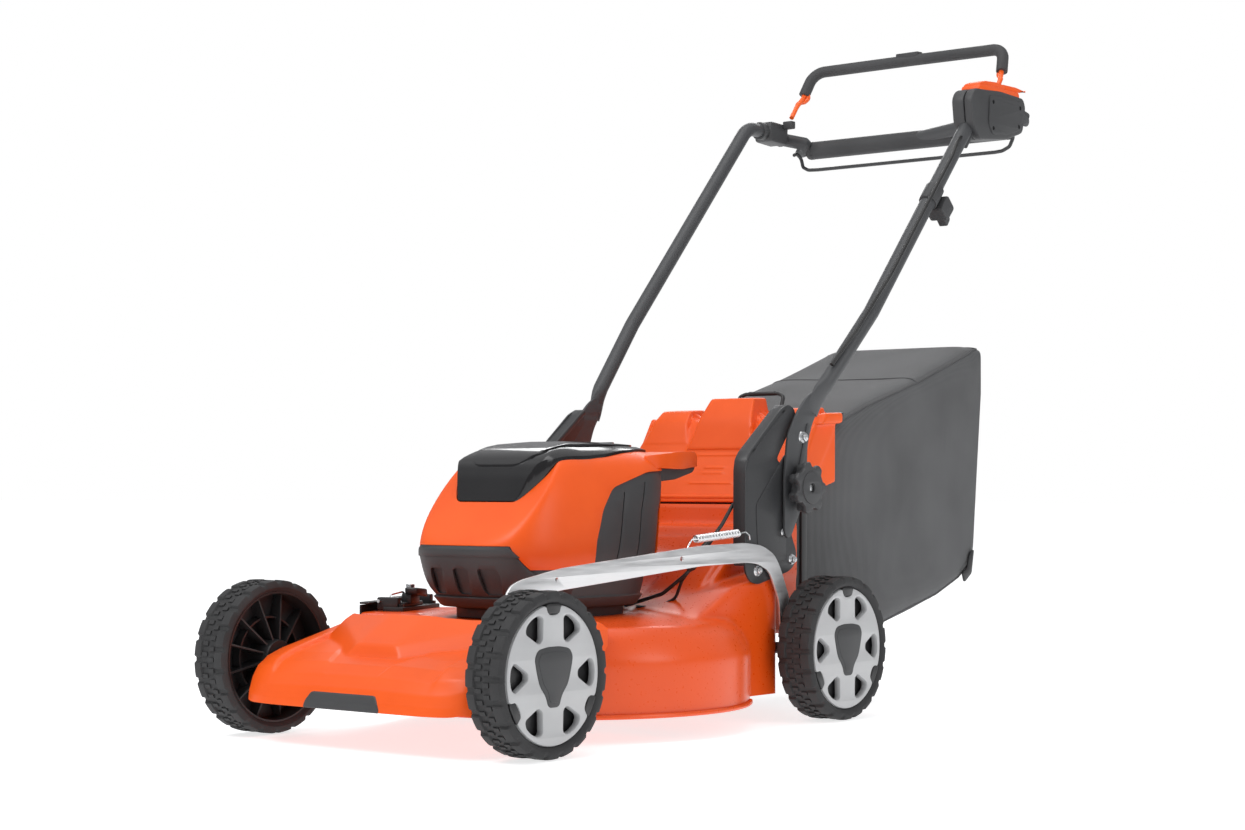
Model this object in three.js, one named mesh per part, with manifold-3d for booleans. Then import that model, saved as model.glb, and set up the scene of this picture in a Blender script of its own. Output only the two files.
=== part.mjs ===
// Battery lawn mower with a rear grass bag: pressed steel deck, two-part motor housing, folding handle,
// four wheels on height-adjusting cranks. Millimetres, +Z up, the mower faces -Y, its left side is +X.
// The design frame has its origin on the ground midway between the axles; the outer group moves it to the
// bottom centre of the whole machine.

import * as THREE from 'three';
import { mergeVertices } from 'three/addons/utils/BufferGeometryUtils.js';
import Module from 'manifold-3d';

const wasm = await Module();
wasm.setup();

// ---------------------------------------------------------------- driving dimensions
const GAP = 0.3;                       // clearance between touching pieces
const ORIGIN_Y = 251.76;               // middle of the machine's length, in the design frame

const WHEEL_R = 100;
const AXLE_Y = 317.5;                  // half the wheelbase
const AXLE_Z = 100;
const TYRE_IN = 207;                   // tyre's inner and outer faces across the machine
const TYRE_OUT = 263;
const TRIM_R = 83.7;
const TRIM_IN = 250.3;                 // spoked trim across the machine
const TRIM_DEEP = 8;
const CAP_IN = 258.6;                  // hub cap across the machine
const CAP_OUT = 262;
const STUB_R = 6;                      // axle stubs

const CRANK_Y = 262;                   // crank pivots, forward and aft of the middle
const CRANK_IN = 200.3;                // crank arms across the machine
const CRANK_OUT = 204.3;

const BAR_IN = 196.6;                  // flat link that joins the two cranks
const BAR_OUT = 199.6;
const BAR_PINS = [[-317, 60], [254, 138]];   // where the cranks are pinned to the link

const SPRING_R = 5;                    // lift spring over the link bar
const SPRING_X = 199.2;

const LEVER_TOP = { y: 245, z: 257 };  // hand knob of the height lever

const BLADE_Y = 15;                    // blade axis
const BLADE_Z = 40;
const DECK_R = 250;
const DECK_LOW = 30;
const DECK_TOP = 152;
const DECK_SIDES = 36;
const SHEET = 2.5;                     // deck sheet
const RIM = 4;                         // rolled rim round the foot of the deck
const CHUTE_HALF = 148;
const CHUTE_BACK = 352;
const REAR_HALF = 189.8;

const DOOR_TURN = THREE.MathUtils.degToRad(20.7);   // side discharge faces forward of square
const DOOR_REACH = 252;                // from the blade axis to the door
const DOOR_HINGE_REACH = 232;
const DOOR_HINGE_Z = 168;

const HOUSE_Y = -38;                   // middle of the motor housing
const HOUSE_WALL = 3;
const HOUSE_LOW = 225;                 // lower edge of the orange cover
const NECK_TOP = 170.7;                // top of the neck that carries the housing
const LID_PROUD = 2;                   // the lid stands above the cover by this much
const VENT_IN = 60;                    // side vents across the machine
const VENT_OUT = 130;

const PLATE_IN = 190.2;                // handle bracket plate
const PLATE_OUT = 193.2;
const LUG_IN = 196.6;                  // flattened foot of the handle tube
const LUG_OUT = 200.6;
const FOLD = { y: 293, z: 394 };
const KNOB = { y: 281, z: 323 };

const TUBE_R = 11.5;
const GRIP_R = 15.5;
const HANDLE_HALF = 221;
const GRIP_Y = 899;
const GRIP_Z = 905;
const TOP_Z = 927;
const BAIL = { x: 194, y: 842, z: 953 };
const DRIVE = { x: 205, y: 866, z: 893 };
const BUTTON_LOW = 939.5;              // underside of the start button
const START_TRAVEL = 1.2;

const FLAP_HALF = 155;
const FLAP_HINGE = { y: 338, z: 309 };
const BAG_HALF = 149;
const BAG_WALL = 2.5;
const LID_HINGE = { y: 112, z: 377 };

// ---------------------------------------------------------------- materials
function finish(colour, roughness, metalness = 0) {
  return new THREE.MeshStandardMaterial({ color: colour, roughness, metalness });
}
const deckPaint = finish('#e24a12', 0.25, 0.1);
const orangePlastic = finish('#f5641e', 0.45);
const darkPlastic = finish('#3c3c3d', 0.6);
const glossBlack = finish('#17181a', 0.2);
const blackSteel = finish('#39393a', 0.5, 0.3);
const tubePaint = finish('#434445', 0.55, 0.2);
const zinc = finish('#c4c6c8', 0.35, 0.9);
const bladeSteel = finish('#5a5c5e', 0.4, 0.8);
const tyreRubber = finish('#2f2f30', 0.85);
const trimSilver = finish('#c9cacb', 0.45, 0.2);
const gripFoam = finish('#2b2b2c', 0.8);
const bagCloth = finish('#3f4041', 0.95);
const cableBlack = finish('#161616', 0.6);

// ---------------------------------------------------------------- geometry helpers
function merged(geometry) {
  const plain = geometry.clone();
  plain.deleteAttribute('normal');
  plain.deleteAttribute('uv');
  return mergeVertices(plain, 1e-3);
}

function signedVolume(geometry) {
  const p = geometry.attributes.position;
  const index = geometry.index;
  const [a, b, c] = [new THREE.Vector3(), new THREE.Vector3(), new THREE.Vector3()];
  let volume = 0;
  for (let i = 0; i < index.count; i += 3) {
    a.fromBufferAttribute(p, index.getX(i));
    b.fromBufferAttribute(p, index.getX(i + 1));
    c.fromBufferAttribute(p, index.getX(i + 2));
    volume += a.dot(b.clone().cross(c)) / 6;
  }
  return volume;
}

function outward(geometry) {
  const g = merged(geometry);
  if (signedVolume(g) < 0) {
    const index = g.index.array;
    for (let i = 0; i < index.length; i += 3) {
      [index[i], index[i + 1]] = [index[i + 1], index[i]];
    }
  }
  return g;
}

function solid(geometry) {
  const g = outward(geometry);
  return new wasm.Manifold(new wasm.Mesh({
    numProp: 3,
    vertProperties: new Float32Array(g.attributes.position.array),
    triVerts: new Uint32Array(g.index.array),
  }));
}

function geometryOf(body) {
  const mesh = body.getMesh();
  const g = new THREE.BufferGeometry();
  g.setAttribute('position', new THREE.BufferAttribute(new Float32Array(mesh.vertProperties), 3));
  g.setIndex(new THREE.BufferAttribute(new Uint32Array(mesh.triVerts), 1));
  return g;
}

const add = (...bodies) => bodies.reduce((a, b) => a.add(b));
const cut = (body, ...tools) => tools.reduce((a, b) => a.subtract(b), body);

function box(x0, x1, y0, y1, z0, z1) {
  const g = new THREE.BoxGeometry(x1 - x0, y1 - y0, z1 - z0);
  return solid(g.translate((x0 + x1) / 2, (y0 + y1) / 2, (z0 + z1) / 2));
}

function extruded(points, depth) {
  const shape = new THREE.Shape(points.map(([u, v]) => new THREE.Vector2(u, v)));
  return new THREE.ExtrudeGeometry(shape, { depth, bevelEnabled: false });
}

// an outline in Y and Z, carried across X
function across(points, x0, x1) {
  const turn = new THREE.Matrix4().makeBasis(
    new THREE.Vector3(0, 1, 0), new THREE.Vector3(0, 0, 1), new THREE.Vector3(1, 0, 0));
  return solid(extruded(points, x1 - x0).applyMatrix4(turn).translate(x0, 0, 0));
}

// an outline in X and Y, carried up Z
function upward(points, z0, z1) {
  return solid(extruded(points, z1 - z0).translate(0, 0, z0));
}

// a cylinder or tube wall along X
function roundX(r, x0, x1, y, z, sides = 16) {
  const g = new THREE.CylinderGeometry(r, r, x1 - x0, sides);
  return solid(g.rotateZ(Math.PI / 2).translate((x0 + x1) / 2, y, z));
}

function roundZ(r, z0, z1, x, y, sides = 20) {
  const g = new THREE.CylinderGeometry(r, r, z1 - z0, sides);
  return solid(g.rotateX(Math.PI / 2).translate(x, y, (z0 + z1) / 2));
}

// a profile of [radius, height] turned about a vertical axis
function turned(profile, sides, x = 0, y = 0) {
  const g = new THREE.LatheGeometry(profile.map(([r, h]) => new THREE.Vector2(r, h)), sides);
  return solid(g.rotateX(Math.PI / 2).translate(x, y, 0));
}

// rings of points joined one after the other, with flat ends
function lofted(rings) {
  const n = rings[0].length;
  const position = rings.flat(2);
  const index = [];
  for (let k = 0; k < rings.length - 1; k += 1) {
    for (let i = 0; i < n; i += 1) {
      const [a, b] = [k * n + i, k * n + ((i + 1) % n)];
      index.push(a, b, b + n, a, b + n, a + n);
    }
  }
  const last = (rings.length - 1) * n;
  for (let i = 1; i < n - 1; i += 1) {
    index.push(0, i + 1, i);
    index.push(last, last + i, last + i + 1);
  }
  const g = new THREE.BufferGeometry();
  g.setAttribute('position', new THREE.Float32BufferAttribute(position, 3));
  g.setIndex(index);
  return solid(g);
}

// straight runs with each corner replaced by an arc of the given radius
function routed(corners, radius, stepDeg = 18) {
  const points = corners.map((c) => new THREE.Vector3(...c));
  const route = [points[0]];
  for (let i = 1; i < points.length - 1; i += 1) {
    const back = points[i - 1].clone().sub(points[i]).normalize();
    const ahead = points[i + 1].clone().sub(points[i]).normalize();
    const half = back.angleTo(ahead) / 2;
    const turn = Math.PI - 2 * half;
    const reach = Math.min(
      radius / Math.tan(half),
      0.45 * points[i].distanceTo(points[i - 1]),
      0.45 * points[i].distanceTo(points[i + 1]));
    const r = reach * Math.tan(half);
    const centre = back.clone().add(ahead).normalize().multiplyScalar(r / Math.sin(half)).add(points[i]);
    const start = points[i].clone().addScaledVector(back, reach).sub(centre);
    const axis = start.clone().cross(ahead).normalize();
    const steps = Math.max(1, Math.round(THREE.MathUtils.radToDeg(turn) / stepDeg));
    for (let k = 0; k <= steps; k += 1) {
      route.push(start.clone().applyAxisAngle(axis, (turn * k) / steps).add(centre));
    }
  }
  route.push(points.at(-1));
  return route;
}

// a curve that has one extrusion step at each point of its route
class Route extends THREE.Curve {
  constructor(points) {
    super();
    this.points = points;
  }

  getPoint(t) {
    return this.points[Math.round(t * (this.points.length - 1))].clone();
  }

  getPointAt(t) {
    return this.getPoint(t);
  }

  getTangentAt(t) {
    const i = Math.round(t * (this.points.length - 1));
    const before = this.points[Math.max(0, i - 1)];
    const here = this.points[i];
    const after = this.points[Math.min(this.points.length - 1, i + 1)];
    const tangent = new THREE.Vector3();
    if (i > 0) tangent.add(here.clone().sub(before).normalize());
    if (i < this.points.length - 1) tangent.add(after.clone().sub(here).normalize());
    return tangent.normalize();
  }
}

function rod(corners, r, bendRadius, sides = 10, stepDeg = 18) {
  const route = routed(corners, bendRadius, stepDeg);
  const section = new THREE.Shape();
  for (let i = 0; i < sides; i += 1) {
    const a = (2 * Math.PI * (i + 0.5)) / sides;
    const [u, v] = [r * Math.cos(a), r * Math.sin(a)];
    if (i === 0) section.moveTo(u, v);
    else section.lineTo(u, v);
  }
  section.closePath();
  return solid(new THREE.ExtrudeGeometry(section, {
    steps: route.length - 1, extrudePath: new Route(route), bevelEnabled: false,
  }));
}

const mirrored = (body) => body.mirror([1, 0, 0]);

const machine = new THREE.Group();
machine.position.y = -ORIGIN_Y;

function place(name, body, material) {
  const mesh = new THREE.Mesh(geometryOf(body), material);
  mesh.name = name;
  machine.add(mesh);
  return mesh;
}

// ---------------------------------------------------------------- deck
const bladeChamber = (grow) => turned([
  [0, DECK_TOP + grow], [150, DECK_TOP + grow], [222, 141 + grow], [236 + grow, 131], [DECK_R + grow, 104],
  [DECK_R + grow, DECK_LOW + RIM], [DECK_R + 6, DECK_LOW + RIM], [DECK_R + 6, DECK_LOW], [0, DECK_LOW],
], DECK_SIDES, 0, BLADE_Y);

const chamberHollow = turned([
  [0, DECK_TOP - SHEET], [149, DECK_TOP - SHEET], [221, 138.5], [234, 129], [DECK_R - SHEET, 103.5],
  [DECK_R - SHEET, DECK_LOW - 5], [0, DECK_LOW - 5],
], DECK_SIDES, 0, BLADE_Y);

// a box in the turned frame of the side discharge: outward reach, distance along the hinge, height
function atDoor(body) {
  return body.rotate([0, 0, 180 + THREE.MathUtils.radToDeg(DOOR_TURN)]).translate([0, BLADE_Y, 0]);
}

function deckShell() {
  const rearBlock = across([[60, 37], [60, 146], [150, 190], [248, 205], [248, 37]], -REAR_HALF, REAR_HALF);
  const chute = across([
    [110, 60], [110, 160], [190, 225], [285, 252], [302, 272], [330, 299], [CHUTE_BACK, 299],
    [CHUTE_BACK, 118], [248, 118], [248, 60],
  ], -CHUTE_HALF, CHUTE_HALF);
  const nose = across([
    [-385, 56], [-345, 96], [-290, 114], [-200, 121], [-200, 118], [-290, 111], [-345, 93], [-385, 52],
  ], -165, 165);
  const tunnel = atDoor(box(165, DOOR_REACH - 1, -45, 118, 37, 156));
  const ears = [-1, 1].flatMap((side) => [
    box(side * 140 - 2, side * 140 + 2, 250, 276, 86, 119),
    box(side * 152 - 2, side * 152 + 2, -276, -248, 86, 115),
  ]);
  const rearHollow = across([
    [40, 30], [40, 143], [151, 187], [246, 202.3], [246, 30],
  ], -REAR_HALF + SHEET, REAR_HALF - SHEET);
  const chuteHollow = across([
    [100, 57], [108, 157], [190, 222], [285, 249], [300, 268], [330, 296.5], [CHUTE_BACK + 5, 296.5],
    [CHUTE_BACK + 5, 120.5], [245, 120.5], [245, 57],
  ], -CHUTE_HALF + SHEET, CHUTE_HALF - SHEET);
  const tunnelHollow = atDoor(box(160, DOOR_REACH + 5, -42, 115, 30, 153));
  const bores = [
    roundX(STUB_R + GAP, -160, 160, CRANK_Y, AXLE_Z),
    roundX(STUB_R + GAP, -160, 160, -CRANK_Y, AXLE_Z),
    roundZ(28, 140, 160, 0, BLADE_Y),
  ];
  const skin = add(bladeChamber(0), rearBlock, chute, nose, tunnel, ...ears);
  return cut(skin, chamberHollow, rearHollow, chuteHollow, tunnelHollow, ...bores);
}

function sideDoor() {
  const leaf = box(DOOR_REACH, DOOR_REACH + 3, -43, 113, 41, DOOR_HINGE_Z - 4);
  const top = box(DOOR_HINGE_REACH + 9, DOOR_REACH + 3, -43, 113, DOOR_HINGE_Z - 4, DOOR_HINGE_Z - 1);
  const tongue = box(DOOR_HINGE_REACH, DOOR_HINGE_REACH + 10, -14, 84, DOOR_HINGE_Z - 4, DOOR_HINGE_Z - 1);
  const knuckle = new THREE.CylinderGeometry(4, 4, 98, 12);
  const barrel = solid(knuckle.translate(DOOR_HINGE_REACH, 35, DOOR_HINGE_Z));
  return atDoor(add(leaf, top, tongue, barrel));
}

function doorHinge() {
  const plate = box(196, DOOR_HINGE_REACH - 6, -30, 100, 156.3, 160);
  const posts = [-28, 86].map((s) => box(205, DOOR_HINGE_REACH + 4, s, s + 12, 156.3, 173));
  const grip = box(196, 212, 40, 74, 156.3, 186);
  return atDoor(add(plate, ...posts, grip));
}

// ---------------------------------------------------------------- nose cover
function frontCover() {
  const outer = across([
    [-409, 49], [-412, 58], [-404, 76], [-380, 104], [-349, 122], [-297, 134], [-243, 147], [-196, 151],
    [-196, 49],
  ], -192, 192);
  const plan = upward([
    [-150, -415], [150, -415], [176, -401], [192, -375], [192, -190], [-192, -190], [-192, -375], [-176, -401],
  ], 40, 175);
  const plateau = across([[-349, 120], [-345, 127], [-290, 161], [-196, 163], [-196, 120]], -46, 46);
  const hollow = across([
    [-405, 40], [-405, 60], [-398, 76], [-376, 102], [-347, 118], [-297, 130.5], [-243, 143.5], [-190, 148],
    [-190, 40],
  ], -188.5, 188.5);
  const plateauHollow = across([[-346, 100], [-340, 125], [-288, 158], [-190, 160], [-190, 100]], -43, 43);
  const arches = [-1, 1].map((side) => box(side * 192 - 8, side * 192 + 8, -352, -180, 30, 112));
  const insertSeat = box(-68, 68, -420, -380, 40, 70);
  const shell = add(outer.intersect(plan), plateau);
  return cut(shell, hollow, plateauHollow, ...arches, insertSeat, bladeChamber(0.6));
}

function frontInsert() {
  return across([
    [-409.3, 49], [-412, 58], [-406.5, 69.4], [-402, 69.4], [-405, 60], [-405, 49],
  ], -65, 65);
}

// ---------------------------------------------------------------- motor housing
const HOUSE_RINGS = [
  { z: 165, x: 92, front: 122, back: 122, square: 3.2 },
  { z: 190, x: 106, front: 148, back: 138, square: 3.2 },
  { z: 225, x: 113, front: 161, back: 145, square: 3.2 },
  { z: 250, x: 114, front: 164, back: 148, square: 3.2 },
  { z: 300, x: 108, front: 150, back: 152, square: 3 },
  { z: 340, x: 97, front: 128, back: 154, square: 2.8 },
  { z: 362, x: 84, front: 104, back: 152, square: 2.6 },
  { z: 376, x: 58, front: 66, back: 140, square: 2.4 },
];

const BACK_SQUARE = 6;                 // the rear half is nearly rectangular in plan

function housingSolid(grow) {
  const count = 20;
  const rings = HOUSE_RINGS.map((ring) => {
    const points = [];
    for (let i = 0; i < count; i += 1) {
      const a = (2 * Math.PI * i) / count;
      const [c, s] = [Math.cos(a), Math.sin(a)];
      const power = s < 0 ? ring.square : BACK_SQUARE;
      const reach = (v, size) => Math.sign(v) * Math.abs(v) ** (2 / power) * (size + grow);
      points.push([reach(c, ring.x), HOUSE_Y + reach(s, s < 0 ? ring.front : ring.back), ring.z + grow]);
    }
    return points;
  });
  return lofted(rings);
}

const lidPlan = (trim) => upward([
  [-55 + trim, -150 + trim], [55 - trim, -150 + trim], [70 - trim, -40], [66 - trim, LID_HINGE.y - trim],
  [-66 + trim, LID_HINGE.y - trim], [-70 + trim, -40],
], 290, 400);

const ventOutline = (trim) => [
  [-60 + trim, HOUSE_LOW + trim], [-34 + trim, 308], [-12 + trim, 334 - trim], [50, 346 - trim],
  [98 - trim, 340 - trim], [84 - trim, HOUSE_LOW + trim],
];

const outside = housingSolid(0);
const inside = housingSolid(-HOUSE_WALL);
const housingShell = cut(outside, inside);

function housingCover() {
  const lip = across([[96, 352], [96, 371], [190, 373], [200, 362], [198, 348], [150, 346]], -86, 86);
  const windows = [across(ventOutline(0), VENT_IN, VENT_OUT), across(ventOutline(0), -VENT_OUT, -VENT_IN)];
  const below = box(-150, 150, -250, 250, 100, HOUSE_LOW);
  const shell = add(housingShell, cut(lip, outside));
  return cut(shell, below, lidPlan(0), ...windows);
}

function batteryLid() {
  return cut(housingSolid(LID_PROUD), inside).intersect(lidPlan(0.5));
}

function ventPanel() {
  return housingShell.intersect(across(ventOutline(0.5), VENT_IN, VENT_OUT));
}

function housingGrille() {
  const bowl = housingShell.intersect(box(-150, 150, -250, 250, NECK_TOP + GAP, HOUSE_LOW - GAP));
  const slots = [-46, 0, 46].map((x) => box(x - 12, x + 12, -230, -170, 194, 216));
  return cut(bowl, ...slots);
}

function housingBase() {
  const neck = upward([
    [-84, -118], [84, -118], [92, -104], [92, 60],
    [84, 70], [-84, 70], [-92, 60], [-92, -104]],
    DECK_TOP + GAP, NECK_TOP);
  const hollow = upward([[-86, -110], [86, -110], [86, 63], [-86, 63]], DECK_TOP - 5, 180);
  return cut(neck, hollow);
}

function motor() {
  const can = turned([[0, 158], [40, 158], [47, 164], [47, 196], [40, 203], [0, 203]], 20, 0, BLADE_Y);
  const feet = roundZ(32, DECK_TOP + GAP, 160, 0, BLADE_Y, 20);
  const bore = roundZ(8.6, 140, 190, 0, BLADE_Y, 14);
  return cut(add(can, feet), bore);
}

function batteryTray() {
  return cut(box(-52, 52, -128, 30, 206, 292), box(-47, 47, -123, 25, 210, 300));
}

function batteryPack() {
  const pack = box(-46, 46, -122, 24, 211, 288);
  const handle = cut(box(-40, 40, -66, -32, 287, 306), box(-28, 28, -70, -28, 287.5, 299));
  return add(pack, handle);
}

// ---------------------------------------------------------------- blade
function blade() {
  const bar = box(-234, 234, BLADE_Y - 27, BLADE_Y + 27, BLADE_Z, BLADE_Z + 3.5);
  const wing = across([[BLADE_Y + 26, BLADE_Z], [BLADE_Y + 27, BLADE_Z], [BLADE_Y + 44, BLADE_Z + 16],
    [BLADE_Y + 42, BLADE_Z + 18], [BLADE_Y + 25, BLADE_Z + 3.4]], 120, 226);
  const other = wing.translate([0, -BLADE_Y, 0]).rotate([0, 0, 180]).translate([0, BLADE_Y, 0]);
  return cut(add(bar, wing, other), roundZ(6.3, 30, 50, 0, BLADE_Y, 14));
}

function bladeHub() {
  const hub = turned([[0, 44], [34, 44], [34, 50], [16, 62], [16, 118], [8.2, 124], [8.2, 186], [0, 186]],
    20, 0, BLADE_Y);
  return cut(hub, roundZ(6.3, 40, 74, 0, BLADE_Y, 14));
}

function bladeBolt() {
  return add(roundZ(13, 31, BLADE_Z - GAP, 0, BLADE_Y, 6), roundZ(6, 35, 70, 0, BLADE_Y, 12));
}

// ---------------------------------------------------------------- wheels
function wheelTurned(profile, sides) {
  const g = new THREE.LatheGeometry(profile.map(([r, h]) => new THREE.Vector2(r, h)), sides);
  return solid(g.rotateZ(-Math.PI / 2));
}

const tyre = wheelTurned([
  [TRIM_R + 1, 210], [94, TYRE_IN], [WHEEL_R, 215], [WHEEL_R, 255], [94, TYRE_OUT], [TRIM_R + 1, 261],
  [TRIM_R + 1, 210],
], 24);

const core = wheelTurned([
  [STUB_R + 0.4, 206], [18, 206], [18, 213], [TRIM_R, 211], [TRIM_R, 250], [79, 250], [79, 217], [18, 219],
  [18, 250], [STUB_R + 0.4, 250], [STUB_R + 0.4, 206],
], 16);

function wheelTrim() {
  const outline = new THREE.Shape();
  outline.absarc(0, 0, TRIM_R, 0, 2 * Math.PI, false);
  for (let k = 0; k < 6; k += 1) {
    const middle = (Math.PI / 3) * (k + 0.5);
    const corner = (r, a) => new THREE.Vector2(r * Math.cos(middle + a), r * Math.sin(middle + a));
    outline.holes.push(new THREE.Path([
      corner(34, 0), corner(64, 0.25), corner(69, 0.16), corner(69, -0.16), corner(64, -0.25),
    ]));
  }
  const g = new THREE.ExtrudeGeometry(outline, { depth: TRIM_DEEP, bevelEnabled: false, curveSegments: 13 });
  return solid(g.rotateY(Math.PI / 2).translate(TRIM_IN, 0, 0));
}
const trim = wheelTrim();

function hubCap() {
  const half = [[6, -31], [9, -20], [21, -2], [25, 12], [22, 22], [12, 27]];
  const other = half.map(([y, z]) => [-y, z]).reverse();
  return across([[0, -32], ...half, [0, 30], ...other], CAP_IN, CAP_OUT);
}
const cap = hubCap();

// ---------------------------------------------------------------- height adjustment
// a flat link with round ends between two points in Y and Z
function link(a, b, r, x0, x1) {
  const along = Math.atan2(b[1] - a[1], b[0] - a[0]);
  const points = [];
  for (const [end, start] of [[b, along - Math.PI / 2], [a, along + Math.PI / 2]]) {
    for (let k = 0; k <= 6; k += 1) {
      const t = start + (Math.PI * k) / 6;
      points.push([end[0] + r * Math.cos(t), end[1] + r * Math.sin(t)]);
    }
  }
  return across(points, x0, x1);
}

function crankAxle(forward) {
  const y = forward * CRANK_Y;
  const wheelY = forward * AXLE_Y;
  const arm = link([y, AXLE_Z], [wheelY, AXLE_Z], 12, CRANK_IN, CRANK_OUT);
  const stub = roundX(STUB_R, CRANK_OUT - 1, 248, wheelY, AXLE_Z, 14);
  const cross = roundX(STUB_R, -CRANK_IN - 1, CRANK_IN + 1, y, AXLE_Z, 14);
  return add(arm, stub, mirrored(arm), mirrored(stub), cross);
}

function heightBar() {
  const outline = [
    [-330, 50], [-334, 192], [-324, 204], [-307, 210], [-232, 222.5], [56, 245.5], [158, 248], [198, 243.5],
    [226, 231], [240, 214], [264, 168], [267, 126], [241, 126], [238, 168], [214, 208], [186, 219], [158, 221],
    [56, 218.5], [-232, 195.5], [-288, 189], [-304, 178], [-304, 50],
  ];
  const strip = across(outline, BAR_IN, BAR_OUT);
  const pins = BAR_PINS.map(([y, z]) => roundX(4, 190, 205, y, z, 10));
  return cut(strip, ...pins);
}

function heightLever() {
  const stalk = across([[250, 112.5], [274, 112.5], [250, 248], [240, 246]], -CRANK_OUT, -CRANK_IN);
  const knob = lofted([[-217, 9], [-213, 12], [-201, 12], [-197, 9]].map(([x, r]) => {
    const ring = [];
    for (let i = 0; i < 12; i += 1) {
      const a = (Math.PI * i) / 6;
      ring.push([x, LEVER_TOP.y + r * Math.cos(a), LEVER_TOP.z + 1.5 * r * Math.sin(a)]);
    }
    return ring;
  }));
  return add(stalk, knob);
}

// ---------------------------------------------------------------- handle brackets and cable
function bracket() {
  const plate = across([
    [165, 245], [165, 347], [176, 372], [256, 434], [272, 441], [290, 438], [308, 408], [305, 350], [276, 270],
    [290, 232], [284, 214], [270, 206], [196, 190], [178, 194], [166, 208],
  ], PLATE_IN, PLATE_OUT);
  const lip = across([
    [165, 262], [165, 347], [176, 372], [256, 434], [258, 431], [179, 370], [168, 346], [168, 262],
  ], 172, PLATE_OUT);
  return add(plate, lip);
}

function clampKnob() {
  const outline = [];
  for (let i = 0; i < 42; i += 1) {
    const a = (2 * Math.PI * i) / 42;
    const r = 33 + 3.5 * Math.cos(7 * a);
    outline.push([KNOB.y + r * Math.cos(a), KNOB.z + r * Math.sin(a)]);
  }
  const star = across(outline, LUG_OUT + 6, LUG_OUT + 24);
  const boss = roundX(16, LUG_OUT + GAP, LUG_OUT + 28, KNOB.y, KNOB.z, 16);
  return add(star, boss);
}

function lowerCable() {
  return rod([
    [60, 70.5, 162], [62, 91, 165], [104, 97, 178], [140, 104, 206], [160, 122, 244], [165, 150, 272],
    [168, 172, 300],
  ], 3, 14, 8, 30);
}

function liftSpring() {
  const coil = roundX(SPRING_R, 0, 112, 0, 0, 12);
  return coil.rotate([0, 0, 90]).rotate([4, 0, 0]).translate([SPRING_X, 36, 254]);
}

// ---------------------------------------------------------------- folding handle
const sideRoute = [
  [205.6, 325, 444], [207.4, 345, 472], [HANDLE_HALF, 440, 578], [HANDLE_HALF + 1, 752, TOP_Z],
  [HANDLE_HALF + 2, 812, TOP_Z],
];

function sideTube() {
  const lug = across([
    [258, 304], [262, 296], [276, 290], [296, 302], [306, 330], [312, 384], [334, 440], [322, 458], [302, 440],
    [278, 392], [256, 330],
  ], LUG_IN, LUG_OUT);
  return add(lug, rod(sideRoute, TUBE_R, 55, 12, 15));
}

const crossRoute = [
  [HANDLE_HALF + 2, 813, TOP_Z], [HANDLE_HALF + 6, 858, TOP_Z - 2], [HANDLE_HALF + 13, GRIP_Y, GRIP_Z],
  [0, GRIP_Y + 2, GRIP_Z - 2],
];
const mirroredRoute = (route) => [...route, ...route.slice(0, -1).reverse().map(([x, y, z]) => [-x, y, z])];

function crossbar() {
  return rod(mirroredRoute(crossRoute), TUBE_R, 30, 12, 22);
}

function handleGrip() {
  const bar = rod([[-196, GRIP_Y, GRIP_Z - 1.6], [0, GRIP_Y + 2, GRIP_Z - 2], [196, GRIP_Y, GRIP_Z - 1.6]],
    GRIP_R, 200, 14, 8);
  const bore = rod(mirroredRoute(crossRoute), TUBE_R + GAP, 30, 12, 22);
  return cut(bar, bore);
}

function tubeBore(r) {
  const side = rod(sideRoute, r, 55, 12, 15);
  return add(side, mirrored(side), rod(mirroredRoute(crossRoute), r, 30, 12, 22));
}

function switchBox() {
  const body = across([
    [694, 925], [706, 940], [784, 946], [858, 944], [866, 930], [856, 888], [806, 872], [724, 862],
    [700, 884],
  ], 204, 244);
  return cut(body, tubeBore(TUBE_R + GAP), box(205, 243, 716, 850, BUTTON_LOW - START_TRAVEL - 1, 950));
}

function startButton() {
  return across([
    [718, BUTTON_LOW], [848, BUTTON_LOW], [850, 950], [874, 958], [842, 960], [744, 957], [722, 951],
  ], 207, 241);
}

function crossbarClamp() {
  const body = across([[800, 908], [846, 906], [850, 942], [798, 944]], -240, -205);
  return cut(body, tubeBore(TUBE_R + GAP));
}

function cableClip() {
  const ring = across([[604, 744], [626, 724], [648, 748], [626, 770]], 206, 240);
  return cut(ring, tubeBore(TUBE_R + GAP));
}

function upperCable() {
  return rod([
    [224, 693, 900], [225, 676, 896], [226, 660, 868], [236, 640, 830], [237, 560, 740], [236.5, 470, 636],
    [226, 390, 548], [214.5, 345, 498],
  ], 3, 22, 8, 24);
}

// the operator presence bail: a bent rod with a sheath over its bow
const bailRoute = [
  [BAIL.x, BAIL.y, BAIL.z], [BAIL.x + 2, BAIL.y + 20, BAIL.z + 22], [BAIL.x - 2, 874, 990], [184, 896, 1036],
  [0, 912, 1040],
];

function bailRod() {
  return rod(mirroredRoute(bailRoute), 4, 26, 8, 24);
}

function bailSheath() {
  const arc = mirroredRoute([[191.6, 876.6, 995.2], [184, 896, 1036], [0, 912, 1040]]);
  return cut(rod(arc, 9.5, 26, 12, 24), rod(mirroredRoute(bailRoute), 4.25, 26, 8, 24));
}

function driveBail() {
  return rod(mirroredRoute([[DRIVE.x, DRIVE.y, DRIVE.z], [DRIVE.x, 884, 870], [0, 890, 868]]), 3.2, 10, 8, 30);
}

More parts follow.
